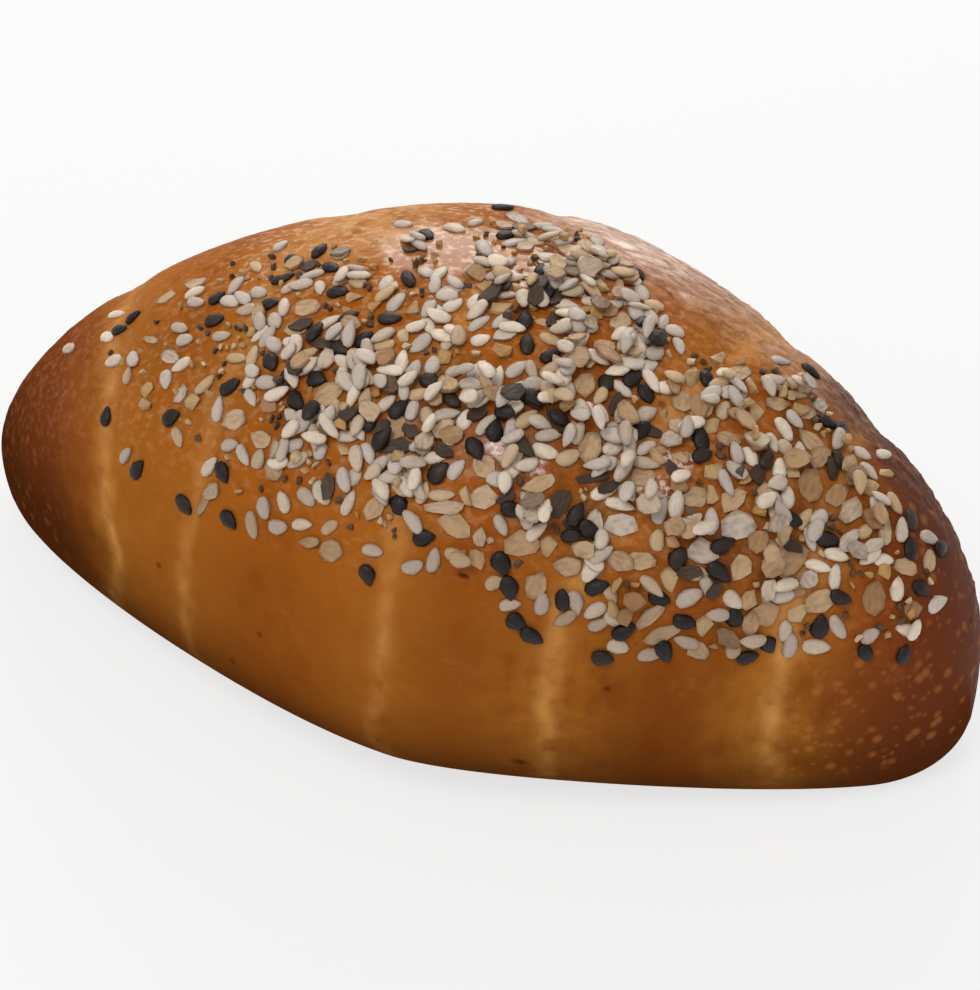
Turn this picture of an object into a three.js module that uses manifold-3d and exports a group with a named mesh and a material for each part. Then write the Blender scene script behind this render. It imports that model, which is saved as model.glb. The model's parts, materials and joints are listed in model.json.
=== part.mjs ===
// An everything bread loaf: one small oval loaf with a swelling crust, five stretch bands across it, and
// sesame seeds, onion flakes and garlic grains baked on to its crest and near shoulder.
// Millimetres, +X along the loaf towards its blunt end, +Z up, standing on its flat underside at Z = 0.
// The topped side faces -Y.

import * as THREE from 'three';
import Module from 'manifold-3d';
import { ConvexGeometry } from 'three/addons/geometries/ConvexGeometry.js';
import { mergeVertices } from 'three/addons/utils/BufferGeometryUtils.js';

// Driving dimensions of the loaf.
const LOAF_LENGTH = 150;
const LOAF_WIDTH = 84;
const LOAF_HEIGHT = 60;
const FULLEST_AT = 5;        // the widest and highest section lies this far towards the blunt end
const TIP_HEIGHT = 7;        // both tips lie this high over the table
const BELLY_HEIGHT = 16.2;   // the widest level of the fullest section
const TIP_SWING = -1.5;      // both tips swing this far sideways, towards the topped side
const FOOT_SHARE = 0.68;     // the flat underside, as a share of the width
const UNDERSIDE_LIFT = 0.86; // past this share of a half the underside lifts off the table
const TAPER_SOFTNESS = 0.3;  // how softly the taper sets in at the middle
const ROUNDNESS = { sideways: 2.1, upward: 2.35, below: 2.0 };

// How each end closes: the taper's power in plan and in height, and how square its nose is.
const BLUNT_END = { plan: 0.8, planNose: 1.9, rise: 1.1, riseNose: 3.0 };
const POINTED_END = { plan: 0.95, planNose: 2.0, rise: 1.2, riseNose: 1.8 };

// The stretch bands: where each crosses the crest, how far it slants for each millimetre sideways, its depth.
const BAND_WIDTH = 5.5;
const BANDS = [
  { at: -53.9, slant: -0.4, depth: 0.9 },
  { at: -26.6, slant: -0.01, depth: 1.0 },
  { at: 2.9, slant: -0.05, depth: 0.7 },
  { at: 34.7, slant: 0.22, depth: 0.8 },
  { at: 53.7, slant: 0.01, depth: 0.9 },
];

// The grid of the skin: steps along the loaf, over its crown, down each side below the belly, and across
// the flat underside. The steps along it are drawn together at the tips by this share.
const STEPS = { along: 64, crown: 16, side: 3, under: 1 };
const TIP_CROWDING = 0.7;

// The toppings at true size: how many, their least and most sizes, and how far they tip in degrees. Then the
// shape of each, a low dome: the sides of its foot, its flat top or ridge as shares of its length and width,
// how much narrower it gets towards its point, and how uneven its corners are.
const FLAKE = {
  count: 36, length: [4.6, 7.0], width: [3.2, 5.0], thickness: [1.0, 1.3], tilt: 6,
  sides: 5, top: [0.85, 0.85], taper: 0.1, rough: 0.16,
};
const SEED = {
  count: 172, length: [3.4, 4.2], width: [2.2, 2.7], thickness: [1.3, 1.6], tilt: 8,
  sides: 6, top: [0.4, 0], taper: 0.6, rough: 0,
};
const GRAIN = {
  count: 30, length: [2.3, 3.3], width: [2.0, 2.8], thickness: [1.4, 1.8], tilt: 10,
  sides: 5, top: [0.3, 0], taper: 0, rough: 0.14,
};
const BAKED_IN = 0.35;       // how far a topping's underside sinks into the crust
const CLEARANCE = 0.25;      // kept between neighbours
const SPRINKLE_SEED = 20311;
const MOST_THROWS = 6000;

// The sprinkled zone, seen from above: an oval that lies mostly on the topped side, with a lobe past the
// crest. It thins towards the pointed end.
const ZONE = { centre: 4, halfLength: 66, near: 37, far: 7, tipSide: 6, thinning: 0.5 };
const LOBE = { at: 4, halfLength: 13, reach: 12 };
const ZONE_ANGLES = [58, 164]; // from past the crest down the topped side, in degrees round the loaf

// Seeds that lie alone past the zone's edge: along the loaf, degrees round it, and their turn.
const LONE_SEEDS = [
  [-58.5, 112, 80], [-44.6, 139, 70], [-39.2, 148, 35], [-36.6, 150, 60], [-27.1, 155, 75], [-19.2, 154, 120],
  [2.9, 155, 85], [23.2, 159, 140], [33.8, 163, 10], [39.9, 160, 100], [49.6, 158, 95], [62.5, 152, 120],
  [67.0, 148, 70], [69.2, 118, 20], [-3.2, 65, 90], [45.0, 71, 150], [50.5, 86, 155],
];

const CRUST = new THREE.MeshStandardMaterial({ color: 0xb0621f, roughness: 0.45, metalness: 0 });

const radians = THREE.MathUtils.degToRad;
const clamp = THREE.MathUtils.clamp;
const lerp = THREE.MathUtils.lerp;

// The half width and the heights of crest, belly and underside at a place along the loaf.
function sectionAt(x) {
  const end = x < FULLEST_AT ? POINTED_END : BLUNT_END;
  const half = LOAF_LENGTH / 2 + (x < FULLEST_AT ? FULLEST_AT : -FULLEST_AT);
  const share = clamp(Math.abs(x - FULLEST_AT) / half, 0, 1);
  const soft = Math.hypot(share, TAPER_SOFTNESS) - TAPER_SOFTNESS;
  const taper = clamp(soft / (Math.hypot(1, TAPER_SOFTNESS) - TAPER_SOFTNESS), 0, 1);
  const rise = Math.pow(1 - Math.pow(taper, end.rise), 1 / end.riseNose);
  const lift = clamp((share - UNDERSIDE_LIFT) / (1 - UNDERSIDE_LIFT), 0, 1);
  return {
    halfWidth: (LOAF_WIDTH / 2) * Math.pow(1 - Math.pow(taper, end.plan), 1 / end.planNose),
    crest: lerp(TIP_HEIGHT, LOAF_HEIGHT, rise),
    belly: lerp(TIP_HEIGHT, BELLY_HEIGHT, rise),
    under: TIP_HEIGHT * (1 - Math.sqrt(1 - lift * lift)),
    swing: TIP_SWING * Math.pow((2 * x) / LOAF_LENGTH, 2),
  };
}

// A point of the smooth skin. The angle runs from the far belly (0) over the crest (a quarter turn) to the
// belly of the topped side (half a turn), and on down each side to the edge of the flat foot.
function smoothPoint(x, angle) {
  const section = sectionAt(x);
  const across = Math.cos(angle);
  const up = Math.sin(angle);
  const crowned = up >= 0;
  const spread = crowned
    ? Math.pow(Math.abs(across), 2 / ROUNDNESS.sideways)
    : lerp(FOOT_SHARE, 1, Math.pow(Math.abs(across), 2 / ROUNDNESS.below));
  const level = Math.pow(Math.abs(up), 2 / (crowned ? ROUNDNESS.upward : ROUNDNESS.below));
  const y = Math.sign(across) * section.halfWidth * spread + section.swing;
  return new THREE.Vector3(x, y, lerp(section.belly, crowned ? section.crest : section.under, level));
}

function outwardNormal(x, angle) {
  const step = 0.01;
  const along = smoothPoint(x + step, angle).sub(smoothPoint(x - step, angle));
  const around = smoothPoint(x, angle + step).sub(smoothPoint(x, angle - step));
  return around.cross(along).normalize();
}

// The skin with its stretch bands: shallow valleys that run over the crown and fade out below the belly.
function crustPoint(x, angle) {
  const point = smoothPoint(x, angle);
  const fade = clamp(0.9 + 2 * Math.sin(angle), 0, 1);
  const dip = BANDS.reduce((sum, band) => {
    const away = (x - band.at - band.slant * point.y) / (BAND_WIDTH / 2);
    return sum + band.depth * fade * Math.exp(-away * away);
  }, 0);
  return dip > 0.001 ? point.addScaledVector(outwardNormal(x, angle), -dip) : point;
}

// One ring of the skin: over the crown, down the topped side, across the flat foot and up the far side.
function ringAt(x) {
  const section = sectionAt(x);
  const steps = (first, last, place) => Array.from({ length: last - first + 1 }, (_, i) => place(first + i));
  const foot = (i) => section.halfWidth * FOOT_SHARE * ((2 * i) / STEPS.under - 1) + section.swing;
  return [
    ...steps(0, STEPS.crown, (i) => crustPoint(x, (Math.PI * i) / STEPS.crown)),
    ...steps(1, STEPS.side - 1, (i) => crustPoint(x, Math.PI * (1 + i / STEPS.side / 2))),
    ...steps(0, STEPS.under, (i) => new THREE.Vector3(x, foot(i), section.under)),
    ...steps(1, STEPS.side - 1, (i) => crustPoint(x, Math.PI * (1.5 + i / STEPS.side / 2))),
  ];
}

// The bare loaf: rings joined by quads, and a fan at each tip.
function loafBody() {
  const rings = [];
  for (let i = 1; i < STEPS.along; i++) {
    const even = (2 * i) / STEPS.along - 1;
    rings.push(ringAt((LOAF_LENGTH / 2) * lerp(even, Math.sin((even * Math.PI) / 2), TIP_CROWDING)));
  }
  const count = rings[0].length;
  const last = (rings.length - 1) * count;
  const points = rings.flat();
  const pointedTip = points.push(new THREE.Vector3(-LOAF_LENGTH / 2, TIP_SWING, TIP_HEIGHT)) - 1;
  const bluntTip = points.push(new THREE.Vector3(LOAF_LENGTH / 2, TIP_SWING, TIP_HEIGHT)) - 1;
  const faces = [];
  for (let j = 0; j < count; j++) {
    const next = (j + 1) % count;
    for (let start = 0; start < last; start += count) {
      faces.push(start + j, start + count + next, start + count + j);
      faces.push(start + j, start + next, start + count + next);
    }
    faces.push(pointedTip, next, j, bluntTip, last + j, last + next);
  }
  const geometry = new THREE.BufferGeometry().setFromPoints(points);
  geometry.setIndex(faces);
  return geometry;
}

// A small generator with a fixed seed, so that the toppings fall the same way every time.
function seededDraw(seed) {
  const [factor, step, range] = [1664525, 1013904223, 2 ** 32];
  let state = seed;
  return () => {
    state = (state * factor + step) % range;
    return state / range;
  };
}

// The chance that a topping lies at a point of the crust.
function sprinkled(point) {
  const along = (point.x - ZONE.centre) / ZONE.halfLength;
  if (Math.abs(along) >= 1) return 0;
  const oval = Math.sqrt(1 - along * along);
  const lobe = LOBE.reach * Math.exp(-Math.pow((point.x - LOBE.at) / LOBE.halfLength, 2));
  const far = lerp(-ZONE.tipSide, ZONE.far, oval) + lobe;
  const near = -lerp(ZONE.tipSide, ZONE.near, oval);
  return point.y < near || point.y > far ? 0 : lerp(1, ZONE.thinning, clamp(-along, 0, 1));
}

// A low dome about one unit across, on a flat foot and pointed along X: a seed, a flake or a grain.
function dome({ sides, top, taper, rough }, draw) {
  const corner = (i, [long, wide], z) => {
    const turn = (2 * Math.PI * i) / sides;
    const x = 0.5 * long * Math.cos(turn) + rough * (draw() - 0.5);
    return new THREE.Vector3(x, 0.5 * wide * Math.sin(turn) * (1 - taper * x) + rough * (draw() - 0.5), z);
  };
  const ring = (shares, z) => Array.from({ length: sides }, (_, i) => corner(i, shares, z));
  const ridge = [new THREE.Vector3(-top[0] / 2, 0, 0.5), new THREE.Vector3(top[0] / 2, 0, 0.5)];
  const foot = ring([1, 1], -0.5);
  const hull = new ConvexGeometry([...foot, ...(top[1] > 0 ? ring(top, 0.5) : ridge)]);
  hull.deleteAttribute('normal');
  return mergeVertices(hull, 1e-4);
}

// Draws one topping: its sizes, its turn and how it tips.
function drawTopping(kind, draw) {
  const between = ([least, most]) => lerp(least, most, draw());
  const size = new THREE.Vector3(between(kind.length), between(kind.width), between(kind.thickness));
  return { kind, size, turn: 360 * draw(), tip: kind.tilt * (2 * draw() - 1), lean: kind.tilt * (2 * draw() - 1) };
}

function isFree(piece, placed) {
  const apart = (other) => (piece.size.x + other.size.x) / 2 + CLEARANCE;
  return placed.every((other) => piece.place.distanceTo(other.place) > apart(other));
}

// Throws toppings of one kind on to the zone until enough of them have found a free place.
function scatter(kind, placed, draw) {
  let found = 0;
  for (let thrown = 0; thrown < MOST_THROWS && found < kind.count; thrown++) {
    const x = ZONE.centre + ZONE.halfLength * (2 * draw() - 1);
    const angle = radians(lerp(ZONE_ANGLES[0], ZONE_ANGLES[1], draw()));
    const place = smoothPoint(x, angle);
    if (draw() > sprinkled(place)) continue;
    const piece = { ...drawTopping(kind, draw), x, angle, place };
    if (!isFree(piece, placed)) continue;
    placed.push(piece);
    found += 1;
  }
}

// All toppings: the lone seeds first, then the largest kind to the smallest.
function allToppings(draw) {
  const placed = LONE_SEEDS.map(([x, degrees, turn]) => {
    const angle = radians(degrees);
    return { ...drawTopping(SEED, draw), turn, x, angle, place: smoothPoint(x, angle) };
  });
  for (const kind of [FLAKE, SEED, GRAIN]) scatter(kind, placed, draw);
  return placed;
}

// A topping's own closed body, lying on the crust with its foot baked in.
function toppingBody({ kind, size, turn, tip, lean, x, angle }, draw) {
  const up = outwardNormal(x, angle);
  const ahead = new THREE.Vector3(1, 0, 0).addScaledVector(up, -up.x).normalize();
  const base = new THREE.Matrix4().makeBasis(ahead, up.clone().cross(ahead), up);
  const place = crustPoint(x, angle).addScaledVector(up, size.z / 2 - BAKED_IN);
  const turned = new THREE.Euler(radians(tip), radians(lean), radians(turn), 'ZYX');
  return dome(kind, draw)
    .scale(size.x, size.y, size.z)
    .applyMatrix4(new THREE.Matrix4().makeRotationFromEuler(turned))
    .applyMatrix4(base.setPosition(place));
}

function toSolid(wasm, geometry) {
  const vertProperties = Float32Array.from(geometry.getAttribute('position').array);
  const triVerts = Uint32Array.from(geometry.getIndex().array);
  return new wasm.Manifold(new wasm.Mesh({ numProp: 3, vertProperties, triVerts }));
}

function toGeometry(solid) {
  const { vertProperties, triVerts } = solid.getMesh();
  const geometry = new THREE.BufferGeometry();
  geometry.setAttribute('position', new THREE.BufferAttribute(vertProperties, 3));
  geometry.setIndex(new THREE.BufferAttribute(triVerts, 1));
  geometry.computeVertexNormals();
  return geometry;
}

const wasm = await Module();
wasm.setup();

const draw = seededDraw(SPRINKLE_SEED);
const toppings = allToppings(draw).map((piece) => toSolid(wasm, toppingBody(piece, draw)));
const wholeLoaf = toppings.reduce((solid, topping) => solid.add(topping), toSolid(wasm, loafBody()));

const loaf = new THREE.Mesh(toGeometry(wholeLoaf), CRUST);
loaf.name = 'loaf';

const bread = new THREE.Group();
bread.add(loaf);

export default bread;
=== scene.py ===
# %% [markdown]
# # An everything bread loaf
#
# A small oval loaf with a glazed brown crust, pale stretch bands, and an "everything" sprinkle: white and
# black sesame, flakes of dried onion and grains of dried garlic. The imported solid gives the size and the
# form. This lesson dresses it: a fine crust grown by Geometry Nodes from the same rule, then several
# hundred toppings laid on it one by one, so that they rest on the crust and on each other.

import json
import math

import bmesh
import bpy
import numpy as np
from mathutils import Matrix, Vector
from mathutils.bvhtree import BVHTree

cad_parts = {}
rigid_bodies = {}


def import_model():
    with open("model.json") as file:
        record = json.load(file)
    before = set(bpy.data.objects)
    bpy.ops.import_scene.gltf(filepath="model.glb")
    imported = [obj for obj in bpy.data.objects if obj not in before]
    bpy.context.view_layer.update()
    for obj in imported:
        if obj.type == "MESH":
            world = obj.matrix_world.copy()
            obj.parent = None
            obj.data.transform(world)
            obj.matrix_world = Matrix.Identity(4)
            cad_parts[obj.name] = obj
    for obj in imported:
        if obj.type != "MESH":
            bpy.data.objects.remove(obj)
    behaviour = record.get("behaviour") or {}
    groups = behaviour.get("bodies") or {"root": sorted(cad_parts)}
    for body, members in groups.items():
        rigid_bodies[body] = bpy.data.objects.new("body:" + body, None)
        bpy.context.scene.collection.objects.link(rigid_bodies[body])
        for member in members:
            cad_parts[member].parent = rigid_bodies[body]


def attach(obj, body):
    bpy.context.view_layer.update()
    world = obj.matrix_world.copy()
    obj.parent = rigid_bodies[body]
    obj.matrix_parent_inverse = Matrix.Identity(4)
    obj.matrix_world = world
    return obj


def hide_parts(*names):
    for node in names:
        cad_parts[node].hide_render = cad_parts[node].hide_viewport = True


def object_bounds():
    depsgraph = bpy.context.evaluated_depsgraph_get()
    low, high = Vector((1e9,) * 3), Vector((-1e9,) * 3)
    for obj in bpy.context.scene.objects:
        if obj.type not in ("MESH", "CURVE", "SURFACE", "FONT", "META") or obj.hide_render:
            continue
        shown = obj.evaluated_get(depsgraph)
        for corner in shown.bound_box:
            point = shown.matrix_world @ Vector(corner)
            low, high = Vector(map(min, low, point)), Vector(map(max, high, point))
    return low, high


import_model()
cad_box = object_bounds()
MM = 0.001
print("the packed loaf reaches from", cad_box[0], "to", cad_box[1], "in metres")

# %% [markdown]
# ## The camera
#
# The photograph looks down on the loaf at 40 degrees, from a little to the right of its topped side. A
# camera is easiest to set as a direction and a distance from a target, here the middle of the loaf. The
# lens follows from how many pixels a millimetre takes up at the target. The loaf isn't centred in the
# photograph, so the lens is shifted a little and the camera isn't turned.

# %% The camera
PHOTO_WIDTH = 980
PHOTO_HEIGHT = 990
AZIMUTH = math.radians(24.04)
ELEVATION = math.radians(40.02)
CAMERA_DISTANCE = 378.75 * MM
PIXELS_PER_MM = 7.185
TARGET = Vector((0, 0, 30 * MM))
TARGET_PIXEL = (470, 436.2)

back = Vector((
    math.sin(AZIMUTH) * math.cos(ELEVATION),
    -math.cos(AZIMUTH) * math.cos(ELEVATION),
    math.sin(ELEVATION),
))
right = Vector((math.cos(AZIMUTH), math.sin(AZIMUTH), 0))
up = back.cross(right)
eye = TARGET + back * CAMERA_DISTANCE
focal_pixels = PIXELS_PER_MM / MM * CAMERA_DISTANCE

lens = bpy.data.cameras.new("photo_camera")
lens.sensor_fit = "VERTICAL"
lens.sensor_height = 36
lens.lens = focal_pixels * lens.sensor_height / PHOTO_HEIGHT
lens.shift_x = (PHOTO_WIDTH / 2 - TARGET_PIXEL[0]) / PHOTO_HEIGHT
lens.shift_y = (TARGET_PIXEL[1] - PHOTO_HEIGHT / 2) / PHOTO_HEIGHT
lens.clip_start = 0.01
camera = bpy.data.objects.new("photo_camera", lens)
camera.matrix_world = Matrix.Translation(eye) @ Matrix((right, up, back)).transposed().to_4x4()
scene = bpy.context.scene
scene.collection.objects.link(camera)
scene.camera = camera
print(f"the camera has a {lens.lens:.0f} mm lens and stands {CAMERA_DISTANCE / MM:.0f} mm from the loaf")

# %% [markdown]
# ## Arithmetic with fields
#
# In Geometry Nodes and in shaders a rule is a tree of Math nodes. Wired by hand, the rule is hard to read.
# This small class lets it be written as ordinary arithmetic: each operation adds its Math node and passes
# on the new socket. The same class serves the crust's form and all of the finishes.

# %% Numbers that vary over a surface
def feed(tree, socket, value):
    """Links a field or a socket to an input, or sets a plain value on it."""
    if isinstance(value, Field):
        value = value.socket
    if isinstance(value, bpy.types.NodeSocket):
        tree.links.new(value, socket)
    else:
        socket.default_value = value


def add_node(tree, kind, inputs=None, **settings):
    """Adds a node with its settings. Its inputs are given by name or number."""
    node = tree.nodes.new(kind)
    for name, value in settings.items():
        setattr(node, name, value)
    for name, value in (inputs or {}).items():
        feed(tree, node.inputs[name], value)
    return node


class Field:
    """A number that varies over a surface. Arithmetic on it adds Math nodes to its tree."""

    def __init__(self, tree, socket):
        self.tree = tree
        self.socket = socket

    def math(self, operation, other=None, swap=False):
        values = [self] if other is None else [self, other]
        if swap:
            values.reverse()
        node = add_node(self.tree, "ShaderNodeMath", dict(enumerate(values)), operation=operation)
        return Field(self.tree, node.outputs[0])

    def __add__(self, other):
        return self.math("ADD", other)

    def __sub__(self, other):
        return self.math("SUBTRACT", other)

    def __rsub__(self, other):
        return self.math("SUBTRACT", other, swap=True)

    def __mul__(self, other):
        return self.math("MULTIPLY", other)

    def __truediv__(self, other):
        return self.math("DIVIDE", other)

    def __rtruediv__(self, other):
        return self.math("DIVIDE", other, swap=True)

    def __pow__(self, other):
        return self.math("POWER", other)

    __radd__ = __add__
    __rmul__ = __mul__

    def clamp(self):
        return self.math("MAXIMUM", 0.0).math("MINIMUM", 1.0)

    def rise(self, low, high):
        """0 at low and 1 at high, with a soft start and end. It falls where low is the larger."""
        share = ((self - low) / (high - low)).clamp()
        return share * share * (3.0 - 2.0 * share)


def blend(share, first, second):
    """The first value where share is 0, the second where it is 1."""
    return first + share * (second - first)


print("a field is added, multiplied and raised to a power like any number")

# %% Patterns that every finish shares
def part_of(tree, vector, letter):
    """One of a vector's three numbers as a field."""
    node = add_node(tree, "ShaderNodeSeparateXYZ", {0: vector})
    return Field(tree, node.outputs[letter])


def vector_math(tree, operation, first, second):
    """One operation on two vectors."""
    return add_node(tree, "ShaderNodeVectorMath", {0: first, 1: second}, operation=operation).outputs[0]


def stretched(tree, vector, factors):
    """The same coordinates, multiplied along each direction."""
    return vector_math(tree, "MULTIPLY", vector, factors)


def noise_texture(tree, vector, size, seed, detail):
    inputs = {"Vector": vector, "W": seed, "Scale": 1 / size, "Detail": detail}
    return add_node(tree, "ShaderNodeTexNoise", inputs, noise_dimensions="4D")


def noise(tree, vector, size, seed=0.0, detail=2.0):
    """Soft random lumps about 'size' metres across, around 0: mostly from -0.5 to 0.5."""
    return (Field(tree, noise_texture(tree, vector, size, seed, detail).outputs[0]) - 0.5) * 2.0


def noise_vector(tree, vector, size, seed=0.0):
    """Three numbers at once, each about -0.5 to 0.5, to push coordinates about with."""
    texture = noise_texture(tree, vector, size, seed, detail=1.0)
    return vector_math(tree, "SUBTRACT", texture.outputs["Color"], (0.5, 0.5, 0.5))


def specks(tree, vector, size, share, seed=0.0, reach=0.42, core=0.12):
    """Round dots in cells 'size' metres across; only this share of the cells has one.

    A dot is full within its core and ends at its reach, both as shares of a cell.
    """
    moved = vector_math(tree, "ADD", vector, (seed * size, seed * size, 0.0))
    inputs = {"Vector": moved, "Scale": 1 / size, "Randomness": 1.0}
    cells = add_node(tree, "ShaderNodeTexVoronoi", inputs, voronoi_dimensions="3D")
    chosen = part_of(tree, cells.outputs["Color"], "X").math("LESS_THAN", share)
    return Field(tree, cells.outputs["Distance"]).rise(reach, core) * chosen


print("noise, specks and stretched coordinates are ready")

# %% Zones of the loaf
def loaf_fields(tree, place, down):
    """What zones are measured in: along, across, up, out from the middle, and down from the crest."""
    fields = {letter.lower(): part_of(tree, place, letter) for letter in "XYZ"}
    fields["out"] = fields["x"].math("ABSOLUTE")
    fields["down"] = down
    return fields


def zone(at, **edges):
    """1 in one part of the loaf and 0 outside it, with soft edges.

    An edge is two numbers: where the zone begins and where it is full. Two more tell where it is full for
    the last time and where it ends. They are millimetres, apart from 'down', which runs from 0 to 1.
    """
    share = None
    for name, (begins, full, *fall) in edges.items():
        unit = 1.0 if name == "down" else MM
        part = at[name].rise(begins * unit, full * unit)
        if fall:
            still_full, ends = fall
            part = part * at[name].rise(ends * unit, still_full * unit)
        share = part if share is None else share * part
    return share


print("a zone is given by where it begins, is full and ends")

# %% [markdown]
# ## Growing a mesh from a tree
#
# Each Geometry Nodes tree here has named inputs, so its sizes can be changed without opening it. A helper
# makes the tree's inputs from a table of values, runs the tree as a modifier, and keeps the result as a
# plain mesh. The modifier's inputs are set by each socket's identifier, because names need not be unique.

# %% Making and running a tree
SOCKET_KINDS = {
    int: "NodeSocketInt",
    float: "NodeSocketFloat",
    bpy.types.Material: "NodeSocketMaterial",
    bpy.types.Collection: "NodeSocketCollection",
}


def new_tree(name, values):
    """A Geometry Nodes tree with a mesh going in, one coming out, and a named input for each value."""
    tree = bpy.data.node_groups.new(name, "GeometryNodeTree")
    tree.interface.new_socket("Mesh", in_out="INPUT", socket_type="NodeSocketGeometry")
    tree.interface.new_socket("Result", in_out="OUTPUT", socket_type="NodeSocketGeometry")
    for label, value in values.items():
        tree.interface.new_socket(label, in_out="INPUT", socket_type=SOCKET_KINDS[type(value)])
    return tree


def close_tree(tree, geometry, material):
    """Ends a tree the way the export needs: instances made real, and the finish set."""
    real = add_node(tree, "GeometryNodeRealizeInstances", {"Geometry": geometry})
    finished = add_node(tree, "GeometryNodeSetMaterial", {"Geometry": real.outputs[0], "Material": material})
    add_node(tree, "NodeGroupOutput", {"Result": finished.outputs[0]})


def push_out(tree, geometry, distance):
    """Moves every point along its normal."""
    normal = add_node(tree, "GeometryNodeInputNormal").outputs[0]
    push = add_node(tree, "ShaderNodeVectorMath", {0: normal, "Scale": distance}, operation="SCALE")
    inputs = {"Geometry": geometry, "Offset": push.outputs[0]}
    return add_node(tree, "GeometryNodeSetPosition", inputs).outputs[0]


def grow(tree, start, name, values):
    """Runs a tree on a mesh and returns the result as a plain mesh object at the origin."""
    start_object = bpy.data.objects.new(name + "_start", start)
    scene.collection.objects.link(start_object)
    modifier = start_object.modifiers.new("grow", "NODES")
    modifier.node_group = tree
    for socket in tree.interface.items_tree:
        if socket.in_out == "INPUT" and socket.name in values:
            modifier[socket.identifier] = values[socket.name]
    depsgraph = bpy.context.evaluated_depsgraph_get()
    result = bpy.data.meshes.new_from_object(start_object.evaluated_get(depsgraph), depsgraph=depsgraph)
    start_object.modifiers.remove(modifier)
    bpy.data.objects.remove(start_object)
    result.name = name
    result.materials.clear()
    result.materials.append(values["Finish"])
    piece = bpy.data.objects.new(name, result)
    scene.collection.objects.link(piece)
    return piece


print("a tree can be made, run and turned into a plain mesh")

# %% [markdown]
# ## The loaf's form
#
# A real crust is one skin, drawn tight by the rising dough: widest a little towards the blunt end, closing
# in a soft nose at each tip, and flat where it stood on the baking sheet. Such a form follows a rule, so it
# is bent from a flat grid: one direction of the grid runs along the loaf, and the other from the middle of
# the foot up one side, over the crest and down the other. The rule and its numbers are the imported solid's
# own, so the crust can replace it without a change of form.

# %% The driving dimensions of the loaf
LOAF = {
    "Length": 150 * MM,
    "Width": 84 * MM,
    "Height": 59.2 * MM,
    "Fullest at": 5 * MM,
    "Tip height": 7 * MM,
    "Belly height": 16.2 * MM,
    "Tip swing": -1.5 * MM,
    "Foot share": 0.68,
    "Underside lift": 0.86,
    "Taper softness": 0.3,
}
ROUNDNESS = {"sideways": 2.1, "upward": 2.35}
BLUNT_END = {"plan": 0.8, "plan nose": 1.9, "rise": 1.1, "rise nose": 3.0}
POINTED_END = {"plan": 0.95, "plan nose": 2.0, "rise": 1.2, "rise nose": 1.8}
TIP_CROWDING = 0.5   # how far the grid's steps are drawn together at the tips
CROWN_SHARE = 0.78   # this share of the grid's width goes from the crest down to the belly
SIDE_SHARE = 0.14    # and this one from the belly down to the edge of the foot


def section_along(given, x):
    """Half the width, and the heights of crest, belly and underside, at a place along the loaf."""
    towards_tip = x.math("LESS_THAN", given["Fullest at"])

    def closing(power, nose):
        bulge = 1.0 - taper ** blend(towards_tip, BLUNT_END[power], POINTED_END[power])
        return bulge.clamp() ** (1.0 / blend(towards_tip, BLUNT_END[nose], POINTED_END[nose]))

    reach = given["Length"] / 2.0 + given["Fullest at"] * (2.0 * towards_tip - 1.0)
    share = ((x - given["Fullest at"]).math("ABSOLUTE") / reach).clamp()
    softness = given["Taper softness"]
    soft = (share * share + softness * softness).math("SQRT") - softness
    taper = (soft / ((1.0 + softness * softness).math("SQRT") - softness)).clamp()
    height = closing("rise", "rise nose")
    lift = ((share - given["Underside lift"]) / (1.0 - given["Underside lift"])).clamp()
    half_width = given["Width"] / 2.0 * closing("plan", "plan nose")
    crest = blend(height, given["Tip height"], given["Height"])
    belly = blend(height, given["Tip height"], given["Belly height"])
    underside = given["Tip height"] * (1.0 - (1.0 - lift * lift).clamp().math("SQRT"))
    return half_width, crest, belly, underside


print("the loaf is", round(LOAF["Length"] / MM), "mm long and", round(LOAF["Height"] / MM), "mm high")

# %% Bending the flat grid into the skin
def bend_grid(tree, given, flat):
    """Where each point of the flat grid goes. Also how far down the loaf it lies, from 0 to 1."""
    t = part_of(tree, flat, "X")
    v = part_of(tree, flat, "Y")
    eased = TIP_CROWDING * (t * (math.pi / 2)).math("SINE") + (1 - TIP_CROWDING) * t
    x = given["Length"] / 2.0 * eased
    half_width, crest, belly, underside = section_along(given, x)
    down = v.math("ABSOLUTE")
    crown_turn = (down / CROWN_SHARE).clamp() * (math.pi / 2)
    side_turn = ((down - CROWN_SHARE) / SIDE_SHARE).clamp() * (math.pi / 2)
    inward = ((down - CROWN_SHARE - SIDE_SHARE) / (1 - CROWN_SHARE - SIDE_SHARE)).clamp()
    tuck = blend(side_turn.math("COSINE"), given["Foot share"], 1.0) * (1.0 - inward)
    spread = crown_turn.math("SINE").clamp() ** (2 / ROUNDNESS["sideways"]) * tuck
    swing = given["Tip swing"] * (2.0 * x / given["Length"]) ** 2.0
    y = swing - v.math("SIGN") * half_width * spread
    over_belly = (crest - belly) * crown_turn.math("COSINE").clamp() ** (2 / ROUNDNESS["upward"])
    under_belly = (belly - underside) * side_turn.math("SINE")
    place = add_node(tree, "ShaderNodeCombineXYZ", {"X": x, "Y": y, "Z": belly + over_belly - under_belly})
    return place.outputs[0], down


print("the grid closes at the crest, at both tips and in the middle of the foot")

# %% [markdown]
# ## Stretch bands and the skin's relief
#
# Where the crust stretched as the loaf rose, five shallow pale bands run over it. They are valleys about half
# a millimetre deep, each with a thin pale line in a wide golden glow, and they wander a little as torn crust
# does. Each slants a little, so its place along the loaf shifts from one side to the other. On top of them
# comes the relief that a baked skin has: a broad unevenness, fine pebbling on the glazed crown, small
# blisters towards both ends, and crinkles along the far shoulder. All of it moves the real mesh along its
# normal, because at this size it shows in the outline and the highlights.

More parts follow.
